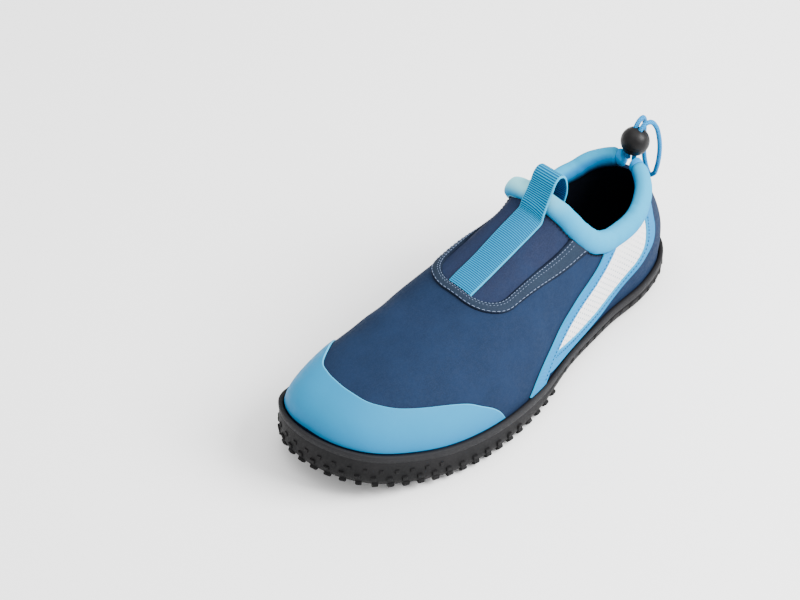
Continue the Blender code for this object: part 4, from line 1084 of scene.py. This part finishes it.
def make_toe_cap(form):
    """The toe film: shares of the section's angle across, by steps from its rear edge to the tip at the rim."""
    dense = np.linspace(0.9, 1, 2001)
    showing = form.top(dense) > rim_height(form.x_of(dense)) + CLEARANCE
    end = dense[showing][-1]
    across = np.linspace(-1, 1, CAP_COLUMNS)
    side = np.where(across > 0, 1.0, -1.0)

    def sine_for(share):
        base = form.base(share)
        height = np.maximum(form.top(share) - base, CLEARANCE)
        rim = np.clip((rim_height(form.x_of(share)) + CLEARANCE - base) / height, 0, 1)
        widest = np.arccos(rim ** (form.by_side(UPPER, "_power", share, side) / 2))
        return np.cos(np.abs(across) * widest)

    places = column(CAP_EDGE, "across") * BALL_WIDTH
    shares = column(CAP_EDGE, "share") * LENGTH
    low, high = np.full(CAP_COLUMNS, 0.5), np.full(CAP_COLUMNS, end)
    for _ in range(30):
        middle = (low + high) / 2
        here = form.point(middle, side, sine_for(middle))
        behind = here[:, 0] < smooth(here[:, 1], places, shares)
        low, high = np.where(behind, middle, low), np.where(behind, high, middle)
    rear = (low + high) / 2
    steps = np.concatenate([CAP_EDGE_STEPS, np.linspace(CAP_EVEN_FROM, 1, CAP_ROWS)])[:, None]
    share = end - (end - rear) * (1 - steps) ** 2
    sine = sine_for(share)
    plain = form.skin(share, side, sine)
    inward = np.cumsum(np.linalg.norm(np.diff(plain, axis=0, prepend=plain[:1]), axis=2), axis=0)
    thickness = CAP_THICKNESS * (0.35 + 0.65 * edge_round(inward, CAP_ROUNDING))
    outer = plain + form.normal(share, side, sine) * (CLEARANCE + thickness)[..., None]
    inner = plain + form.normal(share, side, sine) * (CLEARANCE * 0.5)
    above_rim = plain[..., 2] - rim_height(plain[..., 0])
    # the tint paints shade on the film toward the rim, and so a lighter painted sheen over its top
    tint = 1 - fade(above_rim, 0.0, 0.016)
    uv = np.stack(np.broadcast_arrays(across * BALL_WIDTH, inward), -1)
    piece = Piece("toe_cap_film")
    piece.shell(outer, inner, uv, tint)
    placed(piece.made([cap_film()], sharp=60), "cap_film", "toe_cap")


def band_path(count):
    """The band's outer edge in plan, from the inner arm round the front to the outer arm, and its way out."""
    front = BAND_FRONT * LENGTH - BAND_CORNER
    rear = BAND_REAR * LENGTH
    arm = np.linspace(rear, front, count)
    turned = np.linspace(-math.pi / 2, 0, count)
    low, high = BAND_INNER_SIDE + BAND_CORNER, BAND_OUTER_SIDE - BAND_CORNER
    level = np.linspace(low, high, count)
    ways = [
        np.stack([0 * arm, 0 * arm - 1], 1),
        np.stack([np.cos(turned), np.sin(turned)], 1),
        np.stack([0 * arm + 1, 0 * arm], 1),
        np.stack([np.cos(turned + math.pi / 2), np.sin(turned + math.pi / 2)], 1),
        np.stack([0 * arm, 0 * arm + 1], 1),
    ]
    centres = [
        np.stack([arm, 0 * arm + low], 1),
        np.stack([0 * arm + front, 0 * arm + low], 1),
        np.stack([0 * arm + front, level], 1),
        np.stack([0 * arm + front, 0 * arm + high], 1),
        np.stack([arm[::-1], 0 * arm + high], 1),
    ]
    way = np.concatenate([part if i == 0 else part[1:] for i, part in enumerate(ways)])
    centre = np.concatenate([part if i == 0 else part[1:] for i, part in enumerate(centres)])
    return centre + way * BAND_CORNER, way


def on_top(form, plan, lift):
    """Points of the cloth over places in plan, lifted, the way out, and which of them lie below the collar."""
    share = np.clip((plan[..., 0] - form.low) / (form.high - form.low), 0, 1)
    for _ in range(4):
        side, sine = form.sine_across(share, plan[..., 1])
        off = form.point(share, side, sine)[..., 0] - plan[..., 0]
        share = np.clip(share - off / (form.high - form.low), 0, 1)
    seam_sine = np.minimum(form.sine_at(1.0, np.minimum(share, COLLAR_FRONT), side) + BAND_TUCK, 1)
    below = (share > COLLAR_FRONT) | (sine < seam_sine)
    sine = np.where(below, sine, seam_sine)
    return form.skin(share, side, sine, lift), form.normal(share, side, sine), below


def make_panel_band(form, lilac):
    """The doubled band round the panel: a strip a fixed width inside its U-shaped edge, and its stitches."""
    edge, way = band_path(BAND_STEPS)
    places = np.array(BAND_PLACES)
    plan = edge[:, None] - way[:, None] * places[None, :, None]
    plain, out, below = on_top(form, plan, 0.0)
    kept = below.any(axis=1)
    plain, out, edge, below = plain[kept], out[kept], edge[kept], below[kept]
    ridges = 0.00018 * np.exp(-(((places - BAND_WIDTH / 2) / 0.0011) ** 2))
    from_edge = np.minimum(places, BAND_WIDTH - places)
    rise = CLEARANCE + BAND_THICKNESS * (0.3 + 0.7 * edge_round(from_edge, BAND_ROUNDING)) + ridges
    outer = plain + out * rise[None, :, None]
    inner = plain + out * CLEARANCE * 0.5
    uv = np.stack(np.broadcast_arrays(lengths_along(edge)[:, None], places[None]), -1)
    # painted shadow: the tint darkens the band along both its edges
    dark = 1 - fade(from_edge, 0.0003, 0.0009)
    piece = Piece("panel_band_cloth")
    piece.shell(outer, inner, uv, dark)
    field = (colour(27, 36, 49), colour(33, 43, 57), colour(30, 42, 57))
    # these seam colours are a painted shadow along the band's edges
    seam = (colour(9, 15, 28), colour(13, 20, 35))
    placed(piece.made([navy_cloth("band_cloth", field, seam)], sharp=60), "navy_cloth", "panel_band")
    threads = Piece("panel_stitches")
    for row in BAND_STITCHES:
        free = below[:, row.first]
        path = (outer[free, row.first] + outer[free, row.second]) / 2
        add_thread(threads, path, out[free, row.first], row.pitch, row.length, row.radius)
    placed(threads.made([lilac]), "navy_cloth")


def cut_line(form, rows, side, count=300):
    """A side-view line from the rim up to just inside the collar's roll, resampled at even steps."""
    line = along_curve([(row.share * LENGTH, row.height) for row in rows], count)
    seam = form.seam_line(side, np.linspace(0, 1, 300))
    under = line[:, 1] < np.interp(line[:, 0], seam[:, 0], seam[:, 2]) + SEAM_TUCK
    above = line[:, 1] > rim_height(line[:, 0]) + CLEARANCE / 2
    return line[under & above]


def side_strip(form, side, lines, grid, lift, thickness, rounding):
    """A strip between two side-view lines: its two faces, the way out, UV places and distance from an edge."""
    rows, columns = grid
    a, b = (resampled(cut_line(form, line, side), rows) for line in lines)
    t = np.linspace(0, 1, columns)
    line = a[:, None] * (1 - t)[None, :, None] + b[:, None] * t[None, :, None]
    share, sine = form.place_beside(line[..., 0], line[..., 1], side)
    plain = form.skin(share, side, sine)
    out = form.normal(share, side, sine)
    across = np.cumsum(np.linalg.norm(np.diff(plain, axis=1, prepend=plain[:, :1]), axis=2), axis=1)
    edge = np.minimum(across, across[:, -1:] - across)
    rise = lift + thickness * (0.3 + 0.7 * edge_round(edge, rounding))
    uv = np.stack(np.broadcast_arrays(lengths_along(plain[:, 0])[:, None], across), -1)
    return plain + out * rise[..., None], plain + out * (lift * 0.6), out, uv, edge


def make_side(form, name, side, tape, mesh_finish, teal):
    """One side's mesh window, the two tapes that frame it, and their stitches."""
    lines = (WINDOW_FRONT, WINDOW_REAR)
    outer, inner, *_ = side_strip(form, side, lines, WINDOW_GRID, CLEARANCE, MESH_THICKNESS, MESH_ROUNDING)
    window = Piece(f"mesh_{name}_knit")
    toward_tip = 1 - fade(outer[..., 2], 0.040, 0.060)
    flat_uv = np.stack([outer[..., 0], outer[..., 2]], -1)
    window.shell(outer, inner, flat_uv, 0.12 + 0.75 * toward_tip)
    placed(window.made([mesh_finish], sharp=60), "white_mesh", f"mesh_{name}")

    tapes = Piece(f"trim_{name}_tape")
    threads = Piece(f"trim_{name}_stitches")
    thickness = TRIM_THICKNESS * 0.75
    for lines, lift, sewn in (
        ((STRIP_OUTER, STRIP_INNER), CLEARANCE + MESH_THICKNESS, -8),
        ((LOWER_OUTER, LOWER_INNER), CLEARANCE + MESH_THICKNESS * 0.7, -6),
    ):
        outer, inner, out, uv, edge = side_strip(form, side, lines, TAPE_GRID, lift, thickness, TAPE_ROUNDING)
        tapes.shell(outer, inner, uv, 1 - fade(edge, 0.0002, 0.0007))
        add_thread(threads, outer[6:-2, sewn], out[6:-2, sewn], *TAPE_STITCHES)
    placed(tapes.made([tape], sharp=60), "trim_tape", f"trim_{name}")
    placed(threads.made([teal]), "trim_tape")


def roll_frame(form, stations):
    """The collar's seam, from one end round the front to the other: its points, and the ways up and out."""
    turned = np.linspace(ROLL_START, 1, stations)
    seam = np.concatenate([form.seam_line(1.0, turned), form.seam_line(-1.0, turned[-2::-1])])
    around = unit(np.gradient(seam, axis=0))
    share = COLLAR_FRONT * share_at(np.concatenate([turned, turned[-2::-1]]))
    lean = np.radians(looked_up(ROLL_LEAN, "lean", share))
    tuck = -ROLL_TUCK * seam[:, 1] / np.abs(seam[:, 1]).max()
    up = np.stack([-np.sin(lean), tuck, np.cos(lean)], axis=1)
    up = unit(up - (up * around).sum(axis=1)[:, None] * around)
    return seam, up, np.cross(up, around)


def corner_place(seam):
    """The seam's place that lies furthest to the toe and the inner side."""
    return int(np.argmax(seam @ CORNER_WAY))


def make_collar(form, navy_thread):
    """The padded roll: an oval section carried along the seam, with cuffs at its two ends and soft wrinkles."""
    seam, up, out = roll_frame(form, ROLL_STATIONS)
    places = lengths_along(seam)
    from_end = np.minimum(places, places[-1] - places)
    angles = np.linspace(0, 2 * math.pi, ROLL_SIDES + 1)
    bow = np.sign(np.sin(angles)) * np.abs(np.sin(angles)) ** ROLL_SQUARENESS
    full = fade(from_end, CUFF_LENGTH, CUFF_LENGTH + 0.0025)
    size = np.where(from_end < CUFF_LENGTH, 0.90, 0.90 + 0.10 * full)
    size -= 0.07 * np.exp(-(((from_end - CUFF_LENGTH) / CUFF_STEP) ** 2))
    size *= edge_round(from_end, 0.0016)
    waves = np.sin(places * 2 * math.pi / WRINKLE_PITCH)[:, None] * np.cos(angles + 0.8)
    fine_waves = np.sin(places * 2 * math.pi / FINE_WRINKLE_PITCH + 1.3)[:, None] * np.cos(2 * angles)
    crumple = WRINKLE_HEIGHT * (waves + 0.6 * fine_waves) * fade(from_end, 0.010, 0.030)[:, None]
    lower = ROLL_FRONT_LOWER * np.exp(-(((places - places[-1] / 2) / ROLL_FRONT_REACH) ** 2))[:, None]
    rise = -(ROLL_HEIGHT / 2 - lower / 2 + crumple) * np.cos(angles) * size[:, None]
    swell = bow * (ROLL_DEPTH / 2 + crumple) * size[:, None]
    middle = seam + up * (2 * CLEARANCE + ROLL_HEIGHT / 2 - lower / 2) - out * UPPER_WALL / 2
    near_end = (1 - fade(from_end, 0, END_RISE_REACH))[:, None]
    middle = middle + near_end * np.array([0, 0, END_RISE])
    middle = middle - near_end * END_CLOSE * np.sign(seam[:, 1:2]) * [0, 1, 0]
    from_corner = np.linalg.norm(seam - seam[corner_place(seam)], axis=1)
    corner = np.exp(-((from_corner / CORNER_REACH) ** 2))[:, None]
    middle = middle + corner * CORNER_BULGE * CORNER_WAY
    points = middle[:, None] + up[:, None] * rise[..., None] + out[:, None] * swell[..., None]
    quarter = angles / (2 * math.pi)
    # the tint's place round the section drives the collar's painted light on top and painted shade inside; the
    # cuffs add 2
    tint = np.broadcast_to(quarter, points.shape[:2]) + 2.0 * (from_end < CUFF_LENGTH)[:, None]
    # the UV's first place, measured from the inner corner, sets where the painted sheen lies
    uv = np.stack(np.broadcast_arrays((places - places[corner_place(seam)])[:, None], quarter * 0.04), -1)
    piece = Piece("collar_roll")
    piece.grid(points[:, :-1], uv, tint[:, :-1], closed=True)
    collar = placed(piece.made([collar_cloth()], sharp=70), "collar_cloth", "collar")
    threads = Piece("collar_stitches")
    line = seam + out * 0.0003 - up * 0.0001
    add_thread(threads, line[20:-20], out[20:-20], *COLLAR_STITCHES)
    placed(threads.made([navy_thread]), "navy_cloth")


def make_webbing(form):
    """The pull webbing: a ribbed strip, sewn along the instep, which then climbs over the collar in a loop."""
    seam, up, out = roll_frame(form, ROLL_STATIONS)
    middle_row = ROLL_STATIONS - 1
    near = seam[middle_row - 40 : middle_row + 41]
    near = near[np.argsort(near[:, 1])]
    edge = np.array([np.interp(WEBBING_ACROSS, near[:, 1], near[:, axis]) for axis in range(3)])
    up, out = up[middle_row], out[middle_row]
    offsets = np.linspace(-WEBBING_WIDTH / 2, WEBBING_WIDTH / 2, WEBBING_COLUMNS)
    shares = np.linspace(WEBBING_FRONT, COLLAR_FRONT + SEWN_REAR, SEWN_ROWS)[:, None]
    side, sine = form.sine_across(shares, edge[1] + offsets)
    sewn = form.skin(np.broadcast_to(shares, side.shape), side, sine, 2 * CLEARANCE)
    drop_share = np.full((1, WEBBING_COLUMNS + 1), COLLAR_FRONT + 1.4 * SEWN_REAR)
    drop_y = edge[1] + np.append(offsets, 0)[None]
    drop_side, drop_sine = form.sine_across(drop_share, drop_y)
    heights = form.point(drop_share, drop_side, drop_sine)[0, :, 2]
    drop = heights[-1] - heights[:-1]
    path = along_curve([(row.up, row.out) for row in LOOP_PATH], LOOP_ROWS)
    flat = np.clip(path[:, 0] / FLAT_FROM, 0, 1)
    flat[int(LOOP_ROWS / 3) + 1 :] = 1
    loop = edge + up * path[:, :1] + out * path[:, 1:]
    fall = -drop[None] * (1 - flat)[:, None]
    loop = loop[:, None] + np.stack(np.broadcast_arrays(0.0, offsets[None], fall), -1)
    rows = np.concatenate([sewn, loop])
    places = lengths_along(rows[:, WEBBING_COLUMNS // 2])
    count = int(places[-1] / RIB_PITCH * 8)
    at = np.linspace(0, places[-1], count)
    flat_rows = rows.reshape(len(rows), -1)
    fine = np.stack([smooth(at, places, values) for values in flat_rows.T], axis=1)
    fine = fine.reshape(count, WEBBING_COLUMNS, 3)
    normal = unit(np.cross(np.gradient(fine, axis=0), np.gradient(fine, axis=1)))
    normal *= math.copysign(1, normal[0, 0, 2])
    from_side = WEBBING_WIDTH / 2 - np.abs(offsets)
    inside = fade(from_side, 0.0005, 0.0012)[None, :]
    rib = 0.5 + 0.5 * np.sin(at * 2 * math.pi / RIB_PITCH)[:, None]
    relief_height = RIB_HEIGHT * rib * inside + SELVEDGE_HEIGHT * (1 - inside)
    body = WEBBING_THICKNESS * (0.45 + 0.55 * edge_round(from_side, 0.0006))[None, :]
    climb = places[SEWN_ROWS - 1]
    free = fade(at, climb, climb + 0.004)[:, None]
    low = fine - normal * (BACK_RIB_HEIGHT * rib * inside * free)[..., None]
    high = fine + normal * (body - 0.0001 + relief_height)[..., None]
    over = fade(at, climb - 0.006, climb + 0.003)[:, None]
    uv = np.stack(np.broadcast_arrays(at[:, None], offsets[None]), -1)
    outer_finish = ribbed_webbing(
        "webbing_face", colour(0, 126, 166), colour(2, 142, 180), colour(0, 66, 108), colour(0, 66, 108),
        colour(30, 140, 178),
    )
    inner_finish = ribbed_webbing(
        "webbing_back", colour(0, 96, 146), colour(0, 78, 126), colour(0, 46, 88), colour(0, 38, 76),
        colour(48, 150, 190),
    )
    piece = Piece("pull_webbing_ribbed")
    piece.shell(high, low, uv, over, finishes=(0, 1))
    placed(piece.made([outer_finish, inner_finish], sharp=70), "webbing", "pull_webbing")


def make_insole():
    """The footbed: the outline moved in past the wall, a thin slab whose edge curls up a little."""
    inset = RIM_THICKNESS + FIT + UPPER_WALL + FIT
    plan, from_side = outline_sheet(inset, even_shares(INSOLE_ROWS), INSOLE_COLUMNS)
    base = cup_floor(plan[..., 0]) + CLEARANCE
    curl = FOOTBED_CURL * (1 - fade(from_side, 0.0, FOOTBED_CURL_REACH))
    top = np.dstack([plan, base + INSOLE_THICKNESS + curl - 0.0006 * (1 - edge_round(from_side, 0.001))])
    bottom = np.dstack([plan, base])
    piece = Piece("footbed_foam")
    piece.shell(top, bottom, plan)
    finish = knit_lining("footbed", colour(10, 13, 19), colour(18, 22, 30), 0.0011)
    insole = placed(piece.made([finish], sharp=60), "footbed", "insole")


def even_shares(count):
    """Shares of the length at even steps, but close together at the two round ends."""
    t = np.linspace(0, 1, count)
    return t - 0.93 * np.sin(2 * math.pi * t) / (2 * math.pi)


def medallion_depth(x, y):
    """How far inside the ball's rounded triangle a place lies: a triangle shrunk by a radius, then grown."""
    corners = np.array([(s * LENGTH, a * BALL_WIDTH) for s, a in MEDALLION])
    centre = corners.mean(axis=0)
    lines = []
    for k in range(3):
        a, b = corners[k], corners[(k + 1) % 3]
        way = unit(np.array([-(b - a)[1], (b - a)[0]]))
        way = way * np.sign(way @ (centre - a))
        lines.append((way, way @ a + MEDALLION_CORNER))
    depths = [way[0] * x + way[1] * y - far for way, far in lines]
    shrunk = []
    for k in range(3):
        (p, c), (q, d) = lines[k], lines[(k + 1) % 3]
        shrunk.append(np.linalg.solve(np.array([p, q]), np.array([c, d])))
    nearest = np.full(np.shape(x), 1.0)
    for k in range(3):
        a, b = shrunk[k], shrunk[(k + 1) % 3]
        span = b - a
        t = np.clip(((x - a[0]) * span[0] + (y - a[1]) * span[1]) / (span @ span), 0, 1)
        nearest = np.minimum(nearest, np.hypot(x - a[0] - t * span[0], y - a[1] - t * span[1]))
    inside = np.minimum(np.minimum(depths[0], depths[1]), depths[2])
    return np.where(inside > 0, MEDALLION_CORNER + inside, MEDALLION_CORNER - nearest)


def plate_distance(x, y):
    """How far outside the heel plate's long round outline a place lies."""
    middle = np.clip(x, PLATE_REAR * LENGTH + PLATE_HALF, PLATE_FRONT * LENGTH - PLATE_HALF)
    return np.hypot(x - middle, y) - PLATE_HALF


def groove_distance(x, y):
    """How far the nearest cross groove is: each a wave across the sole, which flattens toward the heel."""
    nearest = np.full(np.shape(x), 1.0)
    for place in GROOVES:
        wave = GROOVE_WAVE * fade(place, 0.020, 0.060) * np.sin(2 * math.pi * (0.010 - y) / GROOVE_SPAN)
        nearest = np.minimum(nearest, np.abs(x - place + wave))
    toe_line = LENGTH - TOE_GROOVE_BACK - TOE_GROOVE_BOW * (y + TOE_GROOVE_ACROSS) ** 2
    return np.minimum(nearest, np.abs(x - toe_line))


def tread(x, y):
    """The underside's relief, downwards: the medallion's ridges, the heel plate and the grooves."""
    depth = medallion_depth(x, y)
    height = np.zeros(np.shape(x))
    for k in range(3):
        off = np.abs(depth - k * MEDALLION_STEP)
        ridge = 1 - fade(off, RIDGE_WIDTH * RIDGE_TOP, RIDGE_WIDTH * RIDGE_FOOT)
        height = np.maximum(height, NUB_HEIGHT * ridge)
    plate = plate_distance(x, y)
    height = np.maximum(height, NUB_HEIGHT * (1 - fade(plate, -0.0004, 0.0006)))
    clear = fade(plate, 0.001, 0.003) * fade(depth, -0.002, -0.006)
    return height - GROOVE_DEPTH * (1 - fade(groove_distance(x, y), GROOVE_WIDTH * 0.4, GROOVE_WIDTH)) * clear


def add_nubs(piece, place, out, along, width, height, sunk=0.0006):
    """Small cubes with soft shoulders: square rings stacked along the way out, narrower toward the end."""
    out, along = unit(out), unit(along)
    across = np.cross(out, along)
    signs = np.array([(-1, -1), (1, -1), (1, 1), (-1, 1)])
    square = along[:, None] * signs[None, :, :1] + across[:, None] * signs[None, :, 1:]
    rings = []
    for share, rise in ((0, -sunk), (0.53, -sunk), (0.48, 0.72 * height), (0.36, height), (0, height)):
        rings.append(place[:, None] + square * (width * share) + out[:, None] * rise)
    piece.many(np.stack(rings, axis=1), closed=True)


def make_outsole():
    """The cup sole: the wall as stacked outlines, the underside's relief, the cup's floor, and the nubs."""
    share = even_shares(SOLE_ROWS)
    levels = {"under": under_height, "rim": rim_height, "floor": cup_floor}
    piece = Piece("outsole_rubber")

    rings = []
    for row in WALL:
        ring = outline_ring(row.inset, share)
        rings.append(np.column_stack([ring, levels[row.above](ring[:, 0]) + row.height]))
    piece.grid(np.stack(rings), tint=column(WALL, "lip")[:, None], closed=True)

    plan, from_side = outline_sheet(WALL[0].inset, share, SOLE_COLUMNS)
    edge_fade = fade(from_side, 0.0, 0.0012)
    under = under_height(plan[..., 0]) - tread(plan[..., 0], plan[..., 1]) * edge_fade
    piece.grid(np.dstack([plan, under]))

    plan, _ = outline_sheet(RIM_THICKNESS, share, 4)
    piece.grid(np.dstack([plan, cup_floor(plan[..., 0])]))

    along_shoe = np.arange(NUBS_FROM, LENGTH, NUB_PITCH)
    across_shoe = np.arange(-NUBS_HALF_WIDTH, NUBS_HALF_WIDTH, NUB_PITCH)
    x, y = np.meshgrid(along_shoe, across_shoe, indexing="ij")
    y = y + NUB_PITCH / 2 * (np.arange(x.shape[0]) % 2)[:, None]
    x, y = x.ravel(), y.ravel()
    low, high, turned, outer, inner = inset_outline(NUBS_INSET)
    there = turn(np.clip((x - low) / (high - low), 0, 1))
    inside = (x > low + 0.004) & (x < high - 0.004)
    inside &= (y < np.interp(there, turned, outer)) & (y > np.interp(there, turned, inner))
    depth = medallion_depth(x, y)
    on_ridges = (depth > -NUBS_OFF_RIDGES) & (depth < 2 * MEDALLION_STEP + 1.15 * RIDGE_WIDTH)
    free = inside & ~on_ridges & (plate_distance(x, y) > NUBS_OFF_PLATE)
    free &= groove_distance(x, y) > NUBS_OFF_GROOVES
    x, y = x[free], y[free]
    place = np.column_stack([x, y, under_height(x)])
    down = np.broadcast_to((0.0, 0.0, -1.0), place.shape)
    along = np.broadcast_to((1.0, 0.0, 0.0), place.shape)
    ahead = x > ARCH_SHARE * LENGTH
    for chosen, width in ((ahead, NUB_WIDTH_AHEAD), (~ahead, NUB_WIDTH_BEHIND)):
        add_nubs(piece, place[chosen], down[chosen], along[chosen], width, NUB_HEIGHT)

    for row in SIDE_NUBS:
        ring = outline_ring(row.inset, share)
        places = lengths_along(ring)
        at = np.arange(row.offset * row.pitch, places[-1], row.pitch)
        spot = np.stack([np.interp(at, places, ring[:, axis]) for axis in range(2)], 1)
        way = np.stack([np.interp(at, places, np.gradient(ring[:, axis])) for axis in range(2)], 1)
        kept = (spot[:, 0] > row.start * LENGTH) & (spot[:, 0] < row.end * LENGTH)
        spot, way = spot[kept], unit(way[kept])
        place = np.column_stack([spot, under_height(spot[:, 0]) + row.above])
        out = np.column_stack([-way[:, 1], way[:, 0], np.full(len(way), -row.slope)])
        add_nubs(piece, place, out, np.column_stack([way, np.zeros(len(way))]), row.width, row.height)
    placed(piece.made([sole_rubber()], sharp=34), "sole_rubber", "outsole")


def make_camera():
    """The photograph's camera, worked out from its two angles, roll and distance."""
    azimuth, elevation = CAMERA_AZIMUTH, CAMERA_ELEVATION
    level = math.cos(elevation)
    back = np.array([math.sin(azimuth) * level, -math.cos(azimuth) * level, math.sin(elevation)])
    right = np.array([math.cos(azimuth), math.sin(azimuth), 0.0])
    up = np.cross(back, right)
    across = right * math.cos(CAMERA_ROLL) + up * math.sin(CAMERA_ROLL)
    above = -right * math.sin(CAMERA_ROLL) + up * math.cos(CAMERA_ROLL)
    camera = bpy.data.objects.new("camera", bpy.data.cameras.new("camera"))
    camera.data.lens = CAMERA_LENS
    camera.data.shift_x, camera.data.shift_y = CAMERA_SHIFT
    turned = Matrix(np.column_stack([across, above, back]).tolist()).to_4x4()
    spot = CAMERA_TARGET + SHIFT + back * CAMERA_DISTANCE
    camera.matrix_world = Matrix.Translation(Vector(spot)) @ turned
    bpy.context.scene.collection.objects.link(camera)
    bpy.context.scene.camera = camera


def make_studio():
    """A plain pale floor, a pale world and large soft lamps."""
    floor_finish = Finish("floor_paper", roughness=0.9, specular_ior_level=0.1)
    shade = floor_finish.mix(floor_finish.noise(3.0, 2), colour(245, 245, 245), colour(247, 247, 247))
    floor_finish.feed(base_color=shade)
    corners = np.array([(-4, -4, 0), (4, -4, 0), (4, 4, 0), (-4, 4, 0)], float)
    mesh = bpy.data.meshes.new("floor")
    mesh.from_pydata(corners, [], [(0, 1, 2, 3)])
    mesh.materials.append(floor_finish.material)
    floor = bpy.data.objects.new("floor", mesh)
    bpy.context.scene.collection.objects.link(floor)

    world = bpy.data.worlds.new("studio")
    world.use_nodes = True
    sky = world.node_tree.nodes["Background"]
    sky.inputs["Color"].default_value = (1.0, 1.0, 1.0, 1.0)
    sky.inputs["Strength"].default_value = 1.5
    bpy.context.scene.world = world
    for name, spot, size, power in (
        ("overhead", (0.0, 0.1, 1.7), 1.4, 18.0),
        ("beside", (-0.7, 1.1, 1.15), 1.1, 92.0),
    ):
        lamp = bpy.data.objects.new(name, bpy.data.lights.new(name, "AREA"))
        lamp.data.size = size
        lamp.data.energy = power
        lamp.location = spot
        lamp.rotation_euler = (-Vector(spot)).to_track_quat("-Z", "Y").to_euler()
        bpy.context.scene.collection.objects.link(lamp)


make_camera()
form = UpperForm()
make_lock()
make_cord()
make_studio()
make_upper(form)
make_toe_cap(form)
lilac_thread = thread("lilac_thread", colour(84, 98, 126), colour(124, 138, 164))
teal_thread = thread("teal_thread", colour(0, 34, 62), colour(0, 50, 84))
navy_thread = thread("navy_thread", colour(6, 10, 20), colour(14, 20, 34))
make_panel_band(form, lilac_thread)
tape = trim_tape()
knit = white_mesh()
make_side(form, "lateral", 1.0, tape, knit, teal_thread)
make_side(form, "medial", -1.0, tape, knit, teal_thread)
make_collar(form, navy_thread)
make_webbing(form)
make_insole()
make_outsole()
